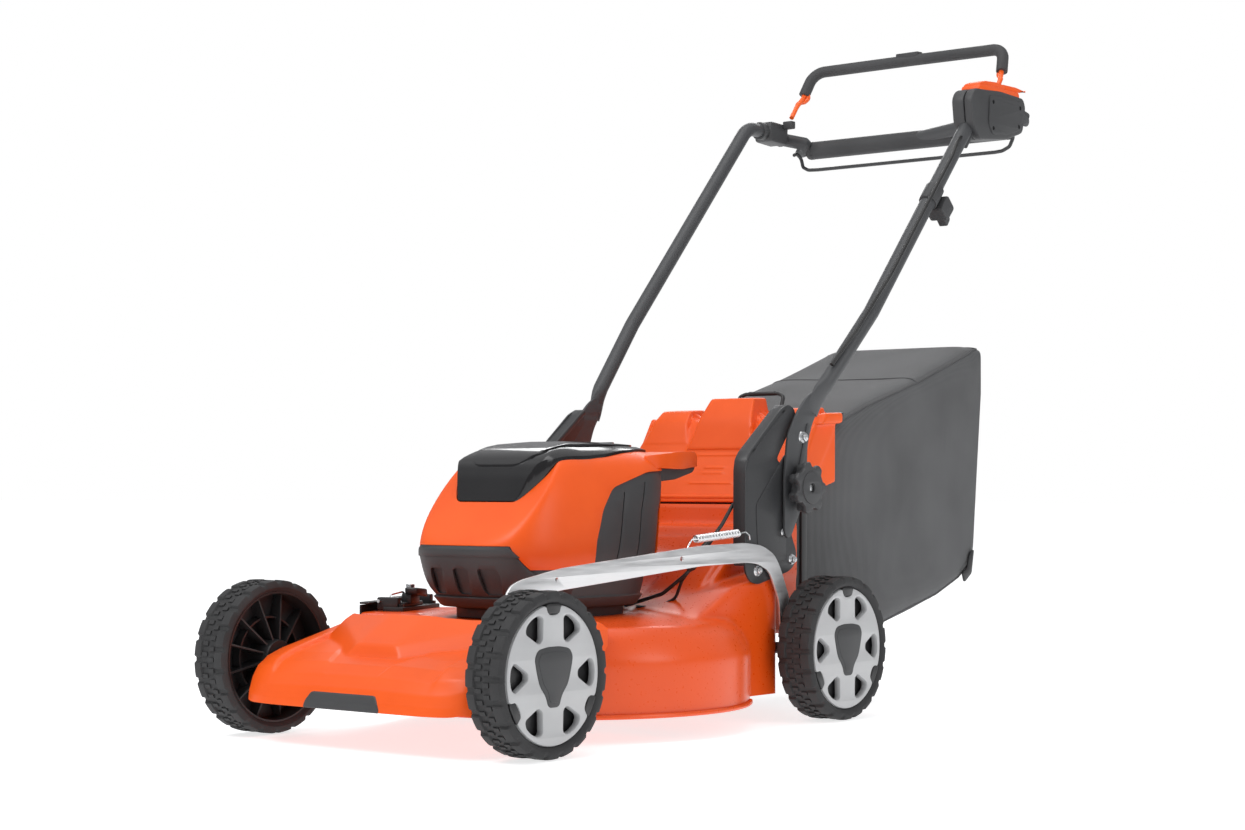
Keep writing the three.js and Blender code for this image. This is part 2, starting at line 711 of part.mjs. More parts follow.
// ---------------------------------------------------------------- rear flap and grass bag
function rearFlap() {
  const outer = across([
    [333, 307], [352, 345], [376, 396], [398, 424], [446, 432], [447, 418], [434, 392], [447, 332],
    [374, 312], [345, 306],
  ], -FLAP_HALF, FLAP_HALF);
  const inner = across([
    [336, 290], [337, 306], [355, 344], [379, 394], [400, 421], [460, 429], [460, 300], [374, 280],
  ], -FLAP_HALF + 3, FLAP_HALF - 3);
  const block = across([[372, 390], [384, 424], [402, 456], [440, 458], [447, 428], [400, 423]], -52, 52);
  const ridge = across([[392, 416], [404, 431], [448, 434], [446, 418]], FLAP_HALF - 1, 168);
  return add(cut(outer, inner), block, ridge, mirrored(ridge));
}

function grassBag() {
  const outer = across([
    [364, 165], [364, 300], [386, 350], [442, 396], [452, 420], [560, 460], [700, 500], [876, 558], [888, 548],
    [866, 340], [852, 184], [833, 174], [758, 146], [680, 130], [588, 106], [480, 110], [400, 132],
  ], -BAG_HALF, BAG_HALF);
  const inner = across([
    [360, 169], [360, 294], [388, 346], [445, 393], [455, 417], [561, 457], [701, 497], [875, 554.5],
    [885, 547], [863, 340], [849, 187], [831, 177], [757, 149], [679, 133], [588, 109], [480, 113], [401, 135],
  ], -BAG_HALF + BAG_WALL, BAG_HALF - BAG_WALL);
  return cut(outer, inner);
}

function bagHandle() {
  return rod(mirroredRoute([[40, 470, 436], [40, 478, 462], [0, 480, 466]]), 3, 12, 8, 30);
}

// ---------------------------------------------------------------- the whole machine
place('deck_shell', deckShell(), deckPaint);
place('front_cover', frontCover(), orangePlastic);
place('front_insert', frontInsert(), darkPlastic);
place('housing_cover', housingCover(), orangePlastic);
place('housing_grille', housingGrille(), darkPlastic);
place('housing_base', housingBase(), darkPlastic);
place('motor', motor(), blackSteel);
place('battery_tray', batteryTray(), darkPlastic);
place('battery_pack', batteryPack(), darkPlastic);
place('battery_lid', batteryLid(), glossBlack);
const vent = ventPanel();
place('vent_panel_left', vent, darkPlastic);
place('vent_panel_right', mirrored(vent), darkPlastic);
const leftBracket = bracket();
place('bracket_left', leftBracket, blackSteel);
place('bracket_right', mirrored(leftBracket), blackSteel);
const knob = clampKnob();
place('clamp_knob_left', knob, darkPlastic);
place('clamp_knob_right', mirrored(knob), darkPlastic);
place('lower_cable', lowerCable(), cableBlack);
place('lift_spring', liftSpring(), zinc);
place('door_hinge', doorHinge(), darkPlastic);
place('side_door', sideDoor(), darkPlastic);
place('rear_flap', rearFlap(), orangePlastic);
place('grass_bag', grassBag(), bagCloth);
place('bag_handle', bagHandle(), blackSteel);
place('blade', blade(), bladeSteel);
place('blade_hub', bladeHub(), zinc);
place('blade_bolt', bladeBolt(), zinc);
place('front_axle', crankAxle(-1), blackSteel);
place('rear_axle', crankAxle(1), blackSteel);
place('height_bar', heightBar(), zinc);
place('height_lever', heightLever(), blackSteel);

for (const [end, y] of [['front', -AXLE_Y], ['rear', AXLE_Y]]) {
  for (const [side, flip] of [['left', false], ['right', true]]) {
    const pieces = [
      ['tyre', tyre, tyreRubber], ['core', core, darkPlastic],
      ['trim', trim, trimSilver], ['cap', cap, darkPlastic],
    ];
    for (const [what, body, material] of pieces) {
      const mesh = place(`${end}_${side}_${what}`, flip ? mirrored(body) : body, material);
      mesh.position.set(0, y, AXLE_Z);
    }
  }
}

const leftTube = sideTube();
place('handle_tube_left', leftTube, tubePaint);
place('handle_tube_right', mirrored(leftTube), tubePaint);
place('handle_crossbar', crossbar(), tubePaint);
place('handle_grip', handleGrip(), gripFoam);
place('switch_box', switchBox(), darkPlastic);
place('start_button', startButton(), orangePlastic);
place('crossbar_clamp', crossbarClamp(), darkPlastic);
place('cable_clip', cableClip(), darkPlastic);
place('upper_cable', upperCable(), cableBlack);
place('bail_rod', bailRod(), orangePlastic);
place('bail_sheath', bailSheath(), gripFoam);
place('drive_bail', driveBail(), blackSteel);

export default machine;
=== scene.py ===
# %% [markdown]
# A battery lawn mower: a pressed steel deck on four wheels, a motor housing in orange and dark plastic,
# a folding tube handle and a cloth bag behind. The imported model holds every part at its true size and
# place, so it is loaded first and nothing in it is moved. Each cell below makes the finished form of one
# piece around it: what the piece is on the real machine, how it could be made, and why this way.

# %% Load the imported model
import math

import bmesh
import bpy
import numpy as np
from mathutils import Matrix, Vector


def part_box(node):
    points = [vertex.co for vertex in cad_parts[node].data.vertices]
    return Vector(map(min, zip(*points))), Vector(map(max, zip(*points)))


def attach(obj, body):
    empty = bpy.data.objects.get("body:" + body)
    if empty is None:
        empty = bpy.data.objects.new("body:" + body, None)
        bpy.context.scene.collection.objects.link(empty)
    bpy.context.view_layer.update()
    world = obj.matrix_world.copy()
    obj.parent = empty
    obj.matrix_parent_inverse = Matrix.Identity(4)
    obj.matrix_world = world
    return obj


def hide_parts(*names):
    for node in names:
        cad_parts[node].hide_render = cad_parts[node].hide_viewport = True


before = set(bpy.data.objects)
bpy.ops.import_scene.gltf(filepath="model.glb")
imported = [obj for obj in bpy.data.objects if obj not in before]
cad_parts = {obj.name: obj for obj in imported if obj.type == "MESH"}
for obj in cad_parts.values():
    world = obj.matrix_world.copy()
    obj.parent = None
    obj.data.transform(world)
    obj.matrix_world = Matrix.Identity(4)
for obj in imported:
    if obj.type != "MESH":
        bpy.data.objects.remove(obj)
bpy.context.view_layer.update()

# %% [markdown]
# A mower is measured from the ground midway between its axles. Lengths below are millimetres from
# there, +X to the machine's left, -Y forward, and at() turns them into metres in the model's frame. The
# wheels give the place of that point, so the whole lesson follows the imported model.


# %% Where things are
def middle(node):
    low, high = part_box(node)
    return (low + high) / 2


MM = 0.001
MID_Y = (middle("front_left_trim").y + middle("rear_left_trim").y) / 2
WHEELBASE = (middle("rear_left_trim").y - middle("front_left_trim").y) / MM
AXLE_Y = WHEELBASE / 2
AXLE_Z = middle("front_left_trim").z / MM
BLADE_Y = (middle("blade").y - MID_Y) / MM


def at(x, y, z):
    return Vector((x * MM, MID_Y + y * MM, z * MM))


def corners(node):
    """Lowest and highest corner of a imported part, in machine millimetres."""
    shift = Vector((0, MID_Y, 0))
    return [(corner - shift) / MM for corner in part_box(node)]


print("wheelbase", round(WHEELBASE), "mm, blade axis at y", round(BLADE_Y))

# %% [markdown]
# The modelling helpers are the moves made by hand in Blender: start from a primitive, enter edit mode,
# select by place, extrude or bevel, leave edit mode, apply a modifier. An operator works on all that is
# selected, so each helper first clears the selection.


# %% Selecting and finishing
def only(piece):
    """Select one piece and make it the active one."""
    bpy.ops.object.select_all(action="DESELECT")
    piece.select_set(True)
    bpy.context.view_layer.objects.active = piece
    return piece


def named_piece(piece, name):
    piece.name = name
    piece.data.name = name
    return piece


def named(name):
    return named_piece(bpy.context.active_object, name)


def settle(piece):
    """Apply the piece's place and turn, so that they are in its mesh."""
    only(piece)
    bpy.ops.object.transform_apply(location=True, rotation=True, scale=True)
    return piece


def pick(piece, kind, test):
    """In edit mode, select the vertices, edges or faces that pass the test."""
    bpy.ops.mesh.select_mode(type=kind)
    bpy.ops.mesh.select_all(action="DESELECT")
    mesh = bmesh.from_edit_mesh(piece.data)
    group = {"VERT": mesh.verts, "EDGE": mesh.edges, "FACE": mesh.faces}[kind]
    chosen = [part for part in group if test(part)]
    for part in chosen:
        part.select_set(True)
    mesh.select_flush_mode()
    bmesh.update_edit_mesh(piece.data)
    return len(chosen)


def edit(piece):
    only(piece)
    bpy.ops.object.mode_set(mode="EDIT")
    bpy.ops.mesh.select_mode(type="VERT")
    bpy.ops.mesh.select_all(action="SELECT")


def leave():
    bpy.ops.object.mode_set(mode="OBJECT")


def tidy(piece, distance=0.02):
    """Merge doubles and turn the faces outwards."""
    edit(piece)
    bpy.ops.mesh.remove_doubles(threshold=distance * MM)
    bpy.ops.mesh.normals_make_consistent(inside=False)
    leave()
    return piece


def apply(piece, kind, **settings):
    """Add a modifier with these settings and apply it."""
    only(piece)
    modifier = piece.modifiers.new(kind.lower(), kind)
    for key, value in settings.items():
        setattr(modifier, key, value)
    bpy.ops.object.modifier_apply(modifier=modifier.name)
    return piece


def rounded(piece, width, segments=3, angle=30):
    """Round every edge that is sharper than the angle."""
    return apply(piece, "BEVEL", width=width * MM, segments=segments, limit_method="ANGLE",
                 angle_limit=math.radians(angle), harden_normals=False)


def smooth(piece, angle=35):
    only(piece)
    bpy.ops.object.shade_smooth_by_angle(angle=math.radians(angle))
    return piece


def joined(name, pieces):
    bpy.ops.object.select_all(action="DESELECT")
    for piece in pieces:
        piece.select_set(True)
    bpy.context.view_layer.objects.active = pieces[0]
    if len(pieces) > 1:
        bpy.ops.object.join()
    return named(name)


def twin(piece, name, matrix=None):
    """A copy with a mesh of its own, moved by a matrix that ends up in its mesh."""
    copy = piece.copy()
    copy.data = piece.data.copy()
    bpy.context.scene.collection.objects.link(copy)
    copy.name = name
    copy.data.name = name
    if matrix is not None:
        copy.data.transform(matrix)
        if matrix.determinant() < 0:
            copy.data.flip_normals()
    return copy


def cut_away(piece, tool, operation="DIFFERENCE"):
    """Cut one solid out of another, then discard the tool."""
    apply(piece, "BOOLEAN", operation=operation, object=tool, solver="EXACT")
    bpy.data.objects.remove(tool)
    return piece


# %% [markdown]
# Four ways of starting a piece come up again and again. A block and a round bar are primitives at their
# size and place. A plate is an outline drawn as a closed curve, given its thickness and rounded edges by
# the curve itself and then made a mesh. A rod is a bent line with a round section. A loft is a stack of
# rings joined by Bridge Edge Loops.


# %% Blocks, bars, plates, rods and lofts
def block(x0, x1, y0, y1, z0, z1, name="block"):
    bpy.ops.object.select_all(action="DESELECT")
    bpy.ops.mesh.primitive_cube_add(size=1, location=at((x0 + x1) / 2, (y0 + y1) / 2, (z0 + z1) / 2),
                                    scale=(abs(x1 - x0) * MM, abs(y1 - y0) * MM, abs(z1 - z0) * MM))
    return settle(named(name))


def bar(radius, start, end, axis="X", sides=32, name="bar", tip=None):
    """A round bar from start to end; tip is the radius at its far end, and axis is not used."""
    a, b = at(*start), at(*end)
    bpy.ops.object.select_all(action="DESELECT")
    bpy.ops.mesh.primitive_cone_add(vertices=sides, radius1=radius * MM,
                                    radius2=(radius if tip is None else tip) * MM,
                                    depth=(b - a).length, location=(a + b) / 2)
    piece = named(name)
    piece.rotation_mode = "QUATERNION"
    piece.rotation_quaternion = (b - a).to_track_quat("Z", "Y")
    return settle(piece)


def drawn(points, cyclic, name, flat=False):
    """A curve object through points, each in metres."""
    curve = bpy.data.curves.new(name, "CURVE")
    curve.dimensions = "2D" if flat else "3D"
    for loop in points:
        spline = curve.splines.new("POLY")
        spline.points.add(len(loop) - 1)
        for place, point in zip(spline.points, loop):
            place.co = (*point, 1)
        spline.use_cyclic_u = cyclic
    piece = bpy.data.objects.new(name, curve)
    bpy.context.scene.collection.objects.link(piece)
    return only(piece)


def arc(y, z, radius, start, stop, steps=12):
    """Points on an arc, in degrees, for an outline."""
    turns = np.radians(np.linspace(start, stop, steps + 1))
    return [(y + radius * math.cos(t), z + radius * math.sin(t)) for t in turns]


def softened(outline, radius, steps=5):
    """An outline with each corner replaced by a small curve."""
    result = []
    count = len(outline)
    for i, corner in enumerate(outline):
        here = Vector(corner)
        back = Vector(outline[i - 1]) - here
        ahead = Vector(outline[(i + 1) % count]) - here
        reach = min(radius, back.length * 0.45, ahead.length * 0.45)
        start, stop = here + back.normalized() * reach, here + ahead.normalized() * reach
        for k in range(steps + 1):
            t = k / steps
            result.append(tuple(start * (1 - t) ** 2 + here * (2 * t * (1 - t)) + stop * t * t))
    return result


# the outline's two directions and the direction of its thickness, as columns
FACING = {
    "X": Matrix(((0, 0, 1), (1, 0, 0), (0, 1, 0))),
    "Y": Matrix(((1, 0, 0), (0, 0, -1), (0, 1, 0))),
    "Z": Matrix(((1, 0, 0), (0, 1, 0), (0, 0, 1))),
}


def plate(name, outline, low, high, axis="X", edge=0.6, holes=()):
    """An outline in the plane across the axis, filled from low to high, its edges rounded."""
    loops = [[(u * MM, v * MM, 0) for u, v in loop] for loop in [outline, *holes]]
    piece = drawn(loops, True, name, flat=True)
    piece.data.fill_mode = "BOTH"
    piece.data.extrude = (abs(high - low) / 2 - edge) * MM
    piece.data.bevel_depth = edge * MM
    piece.data.bevel_resolution = 1
    piece.data.offset = -edge * MM
    bpy.ops.object.convert(target="MESH")
    piece = named(name)
    middle_of = (low + high) / 2
    shift = {"X": (middle_of, 0, 0), "Y": (0, middle_of, 0), "Z": (0, 0, middle_of)}[axis]
    piece.data.transform(Matrix.Translation(at(*shift)) @ FACING[axis].to_4x4())
    return tidy(piece, 0.01)


def bent(points, radius, step=12):
    """Straight runs in millimetres with each corner made an arc."""
    points = [Vector(p) for p in points]
    path = [points[0]]
    for before, here, after in zip(points, points[1:], points[2:]):
        back, ahead = (before - here), (after - here)
        half = back.angle(ahead) / 2
        reach = min(radius / math.tan(half), 0.45 * back.length, 0.45 * ahead.length)
        start = here + back.normalized() * reach
        r = reach * math.tan(half)
        centre = here + (back.normalized() + ahead.normalized()).normalized() * (r / math.sin(half))
        arm = start - centre
        turn = math.pi - 2 * half
        axis = arm.cross(ahead)
        steps = max(2, round(math.degrees(turn) / step))
        for k in range(steps + 1):
            path.append(centre + Matrix.Rotation(turn * k / steps, 3, axis) @ arm)
    return path + [points[-1]]


def mirrored_line(points):
    """A line from the left side to the middle, and back out to the right."""
    return list(points) + [(-p[0], p[1], p[2]) for p in reversed(points[:-1])]


def rod(name, points, radius, bend=20, fine=5, step=12, caps=True):
    path = bent(points, bend, step) if len(points) > 2 else [Vector(p) for p in points]
    piece = drawn([[at(*p) for p in path]], False, name)
    piece.data.bevel_depth = radius * MM
    piece.data.bevel_resolution = fine
    piece.data.use_fill_caps = caps
    bpy.ops.object.convert(target="MESH")
    return tidy(named(name), 0.005)


def loft(name, rings, close_ends=True):
    """Rings of points in millimetres, one circle each, joined one to the next."""
    count = len(rings[0])
    bpy.ops.object.select_all(action="DESELECT")
    bpy.ops.mesh.primitive_circle_add(vertices=count, radius=0.01)
    piece = named(name)
    settle(piece)
    bpy.ops.object.mode_set(mode="EDIT")
    for k in range(1, len(rings)):
        bpy.ops.mesh.primitive_circle_add(vertices=count, radius=0.01, location=(0, 0, 0.02 * k))
    for k in range(len(rings) - 1):
        low, high = k * count, (k + 2) * count
        pick(piece, "EDGE", lambda e: all(low <= v.index < high for v in e.verts)
             and len(e.link_faces) < 2 and e.verts[0].index // count == e.verts[1].index // count)
        bpy.ops.mesh.bridge_edge_loops()
    mesh = bmesh.from_edit_mesh(piece.data)
    mesh.verts.ensure_lookup_table()
    for k, ring in enumerate(rings):
        for i, point in enumerate(ring):
            mesh.verts[k * count + i].co = at(*point)
    bmesh.update_edit_mesh(piece.data)
    if close_ends:
        pick(piece, "EDGE", lambda e: e.is_boundary)
        bpy.ops.mesh.edge_face_add()
    bpy.ops.mesh.select_all(action="SELECT")
    bpy.ops.mesh.normals_make_consistent(inside=False)
    leave()
    return piece


def super_ring(half_x, y, front, back, z, square=2.5, back_square=None, count=96, tilt=0.0):
    """A closed ring between an ellipse and a rectangle; tilt raises it towards the back."""
    ring = []
    for i in range(count):
        a = 2 * math.pi * i / count
        c, s = math.cos(a), math.sin(a)
        power = square if s < 0 or back_square is None else back_square
        u = math.copysign(abs(c) ** (2 / power), c) * half_x
        v = math.copysign(abs(s) ** (2 / power), s) * (front if s < 0 else back)
        ring.append((u, y + v, z + tilt * v))
    return ring


# %% [markdown]
# Pressed sheet and moulded covers have no sharp edges: planes run into each other over a radius. Bevels
# fail where many such planes meet, so those skins are made another way. Simple solids that overlap are
# remeshed into one, and then each point is drawn onto the surface where the blended distance to all the
# solids is nought. A convex solid is the largest of its plane distances, and a blended union is the
# smallest of its members, both softened over a few millimetres.


# %% Blended skins
def soft_max(values, k):
    values = np.stack(np.broadcast_arrays(*values))
    top = values.max(0)
    return top + k * np.log(np.exp((values - top) / k).sum(0))


def soft_min(values, k):
    return -soft_max([-v for v in values], k)


def above(u, v, line):
    """Distances above the straight runs of a line in a section, one for each run, left to right."""
    runs = zip(line, line[1:])
    return [((v - a[1]) * (b[0] - a[0]) - (u - a[0]) * (b[1] - a[1])) / math.dist(a, b) for a, b in runs]


def below(u, v, line):
    return [-distance for distance in above(u, v, line)]


def mesh_points(piece):
    points = np.empty(len(piece.data.vertices) * 3)
    piece.data.vertices.foreach_get("co", points)
    return (points.reshape(-1, 3) - np.array((0, MID_Y, 0))) / MM


def set_points(piece, points):
    piece.data.vertices.foreach_set("co", (points * MM + np.array((0, MID_Y, 0))).ravel())
    piece.data.update()


def drawn_on(piece, distance, rounds=5):
    """Move each point of a mesh onto the surface where distance() is nought."""
    points = mesh_points(piece)
    reach = 0.05
    for _ in range(rounds):
        here = distance(*points.T)
        slope = np.stack([
            distance(*(points + reach * np.eye(3)[i]).T) - distance(*(points - reach * np.eye(3)[i]).T)
            for i in range(3)
        ], axis=1) / (2 * reach)
        size = (slope ** 2).sum(1).clip(0.2)
        step = -(here / size)[:, None] * slope
        length = np.linalg.norm(step, axis=1).clip(1e-9)
        points += step * np.minimum(1, 4 / length)[:, None]
    set_points(piece, points)
    return piece


def blended(name, seeds, distance, voxel=3.5, keep=0.5):
    """One skin from overlapping seed solids: remesh, draw onto the surface, thin out, draw on again."""
    skin = joined(name, seeds)
    apply(skin, "REMESH", mode="VOXEL", voxel_size=voxel * MM)
    drawn_on(skin, distance, 6)
    apply(skin, "DECIMATE", ratio=keep)
    drawn_on(skin, distance, 3)
    return skin
# %% [markdown]
# The camera stands low at the machine's front left corner and looks very slightly up, which is how
# garden machines are usually shown. Its place is given from the model's own axes, and it comes first
# because every later choice of detail depends on what it sees.

# %% Camera
CAMERA_AZIMUTH = math.radians(38.505)
CAMERA_RISE = math.radians(-1.859)
CAMERA_ROLL = math.radians(0.197)
LENS = 67.43

back = Vector((math.sin(CAMERA_AZIMUTH) * math.cos(CAMERA_RISE),
               -math.cos(CAMERA_AZIMUTH) * math.cos(CAMERA_RISE), math.sin(CAMERA_RISE)))
right = Vector((0, 0, 1)).cross(back).normalized()
up = back.cross(right)
turn_by_roll = Matrix.Rotation(CAMERA_ROLL, 3, back)
camera_data = bpy.data.cameras.new("camera")
camera_data.lens = LENS
camera_data.sensor_width = 36
camera = bpy.data.objects.new("camera", camera_data)
bpy.context.scene.collection.objects.link(camera)
axes = Matrix([turn_by_roll @ right, turn_by_roll @ up, back]).transposed()
camera.matrix_world = Matrix.Translation(at(2041.8, -2427.6, 318.1)) @ axes.to_4x4()
bpy.context.scene.camera = camera
print("camera at", [round(c, 3) for c in camera.location])

# %% [markdown]
# A white studio: a bright, even surround, one broad soft light above and in front, and a long strip
# behind that draws the edges of the dark parts. The floor is a very large pale disc, so that no view
# shows its edge.

# %% Floor and light
bpy.ops.mesh.primitive_circle_add(vertices=96, radius=60, fill_type="NGON", location=(0, 0, -0.0008))
floor = named("studio_floor")


def shader_of(name):
    """A new material and its Principled shader."""
    material = bpy.data.materials.new(name)
    material.use_nodes = True
    return material, material.node_tree.nodes["Principled BSDF"]


floor_paint, floor_shader = shader_of("studio_floor_white")
floor_shader.inputs["Base Color"].default_value = (0.60, 0.61, 0.62, 1)
floor_shader.inputs["Roughness"].default_value = 0.6
floor_shader.inputs["Emission Color"].default_value = (1, 1, 1, 1)
floor_shader.inputs["Emission Strength"].default_value = 0.72
floor.data.materials.append(floor_paint)

world = bpy.data.worlds.new("studio_surround")
bpy.context.scene.world = world
world.use_nodes = True
surround = world.node_tree
background = surround.nodes["Background"]
background.inputs["Strength"].default_value = 1.0
place_in_sky = surround.nodes.new("ShaderNodeTexCoord")
height = surround.nodes.new("ShaderNodeSeparateXYZ")
shade = surround.nodes.new("ShaderNodeValToRGB")
shade.color_ramp.elements[0].position = 0.0
shade.color_ramp.elements[0].color = (0.24, 0.24, 0.25, 1)
shade.color_ramp.elements[1].position = 0.8
shade.color_ramp.elements[1].color = (0.66, 0.66, 0.67, 1)
seen = surround.nodes.new("ShaderNodeLightPath")
choose = surround.nodes.new("ShaderNodeMix")
choose.data_type = "RGBA"
choose.inputs["B"].default_value = (1, 1, 1, 1)
surround.links.new(place_in_sky.outputs["Generated"], height.inputs[0])
surround.links.new(height.outputs["Z"], shade.inputs["Fac"])
surround.links.new(shade.outputs["Color"], choose.inputs["A"])
surround.links.new(seen.outputs["Is Camera Ray"], choose.inputs["Factor"])
surround.links.new(choose.outputs["Result"], background.inputs["Color"])
bpy.context.scene.view_settings.view_transform = "Standard"


def soft_light(name, place, target, size, power):
    light = bpy.data.lights.new(name, "AREA")
    light.shape = "RECTANGLE"
    light.size, light.size_y = size
    light.energy = power
    lamp = bpy.data.objects.new(name, light)
    bpy.context.scene.collection.objects.link(lamp)
    lamp.location = place
    lamp.rotation_mode = "QUATERNION"
    lamp.rotation_quaternion = (Vector(target) - Vector(place)).to_track_quat("-Z", "Y")


soft_light("front_softbox", (-0.6, -2.4, 3.0), (0, -0.1, 0.3), (2.0, 1.0), 54)
soft_light("left_softbox", (3.4, 0.2, 1.7), (0, 0, 0.4), (1.4, 1.8), 20)
soft_light("back_strip", (-1.6, 2.9, 2.4), (0, 0.2, 0.5), (2.8, 0.7), 30)
soft_light("top_softbox", (0, 0.1, 3.6), (0, 0.1, 0), (2.2, 2.2), 24)

# %% [markdown]
# Every finish is a Principled shader with its detail made from noise and wave nodes on Object
# coordinates, which are metres on this machine, so a scale of 900 is grain about a millimetre across.
# Three small helpers do what each finish needs: a pattern, a change of roughness or colour by that
# pattern, and a bump from it.


# %% Helpers for finishes
def pattern(material, kind="ShaderNodeTexNoise", scale=100.0, stretch=(1, 1, 1), **settings):
    """A texture node on Object coordinates; returns its value output."""
    tree = material.node_tree
    place = tree.nodes.new("ShaderNodeTexCoord")
    mapping = tree.nodes.new("ShaderNodeMapping")
    mapping.inputs["Scale"].default_value = stretch
    texture = tree.nodes.new(kind)
    texture.inputs["Scale"].default_value = scale
    for key, value in settings.items():
        if key in texture.inputs:
            texture.inputs[key].default_value = value
        else:
            setattr(texture, key, value)
    tree.links.new(place.outputs["Object"], mapping.inputs["Vector"])
    tree.links.new(mapping.outputs["Vector"], texture.inputs["Vector"])
    return texture.outputs["Distance" if kind == "ShaderNodeTexVoronoi" else "Fac"]


def by_range(material, value, low, high, low_in=0.3, high_in=0.7):
    """A value output carried into a range."""
    ranged = material.node_tree.nodes.new("ShaderNodeMapRange")
    ranged.inputs["From Min"].default_value = low_in
    ranged.inputs["From Max"].default_value = high_in
    ranged.inputs["To Min"].default_value = low
    ranged.inputs["To Max"].default_value = high
    material.node_tree.links.new(value, ranged.inputs["Value"])
    return ranged.outputs["Result"]


def by_colour(material, value, low, high, low_at=0.3, high_at=0.7):
    """A colour that changes from low to high with a value."""
    ramp = material.node_tree.nodes.new("ShaderNodeValToRGB")
    for element, position, colour in zip(ramp.color_ramp.elements, (low_at, high_at), (low, high)):
        element.position = position
        element.color = (*colour, 1)
    material.node_tree.links.new(value, ramp.inputs["Fac"])
    return ramp.outputs["Color"]


def bump(material, shader, value, height_mm, strength=1.0, before=None):
    """A bump that many millimetres high; another one can be fed in before it."""
    node = material.node_tree.nodes.new("ShaderNodeBump")
    node.inputs["Strength"].default_value = strength
    node.inputs["Distance"].default_value = height_mm * MM
    material.node_tree.links.new(value, node.inputs["Height"])
    if before is not None:
        material.node_tree.links.new(before.outputs["Normal"], node.inputs["Normal"])
    material.node_tree.links.new(node.outputs["Normal"], shader.inputs["Normal"])
    return node


def link(material, value, shader, socket):
    material.node_tree.links.new(value, shader.inputs[socket])


def moulded(name, colour, other, rough, grain=1400.0, depth=0.06, specular=0.5):
    """Moulded plastic: a fine spark-eroded grain, slightly uneven in colour and gloss."""
    material, shader = shader_of(name)
    shader.inputs["Specular IOR Level"].default_value = specular
    cloud = pattern(material, scale=14.0, Detail=3.0)
    fine = pattern(material, scale=grain, Detail=2.0)
    link(material, by_colour(material, cloud, colour, other), shader, "Base Color")
    link(material, by_range(material, cloud, rough - 0.04, rough + 0.05), shader, "Roughness")
    bump(material, shader, fine, depth, 0.55)
    return material


def painted(name, colour, other, rough, peel=220.0, depth=0.02, coat=0.0, metal=0.0):
    """Powder coat or enamel: orange peel a few millimetres across, under a clear gloss if coated."""
    material, shader = shader_of(name)
    shader.inputs["Coat Weight"].default_value = coat
    shader.inputs["Coat Roughness"].default_value = 0.04
    shader.inputs["Metallic"].default_value = metal
    cloud = pattern(material, scale=6.0, Detail=2.0)
    waves = pattern(material, scale=peel, Detail=1.5)
    link(material, by_colour(material, cloud, colour, other), shader, "Base Color")
    link(material, by_range(material, waves, rough - 0.03, rough + 0.04), shader, "Roughness")
    bump(material, shader, waves, depth, 0.5)
    return material


def plated(name, colour, other, rough, scale=60.0, stretch=(1, 1, 1), depth=0.01):
    """Bare or plated metal with faint streaks of rolling or plating."""
    material, shader = shader_of(name)
    shader.inputs["Metallic"].default_value = 1.0
    streak = pattern(material, scale=scale, stretch=stretch, Detail=4.0)
    link(material, by_colour(material, streak, colour, other), shader, "Base Color")
    link(material, by_range(material, streak, rough - 0.08, rough + 0.1), shader, "Roughness")
    bump(material, shader, streak, depth, 0.4)
    return material


# %% [markdown]
# Two oranges are easy to tell apart on the real machine. The deck is enamelled steel with a deep gloss,
# redder where it turns from the light; the covers are moulded in a lighter orange with a satin skin. The
# dark plastics are one charcoal with a fine grain, and only the battery lid is polished.

# %% Paints, plastics and metals
deck_enamel = painted("deck_enamel", (0.76, 0.076, 0.004), (0.82, 0.088, 0.005), 0.30, 220.0,
                       0.005)
cover_orange = moulded("cover_orange", (0.86, 0.098, 0.006), (0.92, 0.112, 0.008), 0.38, 900.0, 0.02, 0.35)
charcoal = moulded("charcoal_plastic", (0.040, 0.041, 0.043), (0.050, 0.051, 0.053), 0.52)
lid_black = moulded("lid_black", (0.010, 0.010, 0.011), (0.014, 0.014, 0.015), 0.12, 30.0, 0.004)
black_nylon = moulded("black_nylon", (0.018, 0.018, 0.019), (0.028, 0.028, 0.029), 0.40)
black_steel = painted("black_steel", (0.028, 0.029, 0.031), (0.036, 0.037, 0.039), 0.42, 500.0, 0.03)
tube_coat = painted("tube_coat", (0.048, 0.050, 0.053), (0.058, 0.060, 0.063), 0.46, 900.0, 0.05)
zinc = plated("zinc_plate", (0.60, 0.61, 0.62), (0.76, 0.77, 0.78), 0.28)
galvanised = plated("galvanised_strip", (0.70, 0.705, 0.71), (0.78, 0.785, 0.79), 0.46, 60.0, (1, 0.3, 4), 0.004)
blade_steel = plated("blade_steel", (0.16, 0.165, 0.17), (0.28, 0.285, 0.29), 0.42, 40.0, (0.2, 3, 3))
silver_trim = moulded("silver_trim", (0.46, 0.465, 0.47), (0.51, 0.515, 0.52), 0.40, 1100.0, 0.02)
soft_grip = moulded("soft_grip", (0.050, 0.051, 0.053), (0.064, 0.065, 0.067), 0.62, 700.0, 0.16, 0.3)
cable_jacket = moulded("cable_jacket", (0.010, 0.010, 0.010), (0.016, 0.016, 0.016), 0.38, 300.0, 0.02)
bail_orange = painted("bail_orange", (0.92, 0.125, 0.012), (0.97, 0.14, 0.014), 0.30, 500.0, 0.02)

# %% [markdown]
# Rubber is the roughest finish here. A new tyre is almost black, with a greyer bloom in patches and a
# fine moulding texture that catches the light on the shoulders.

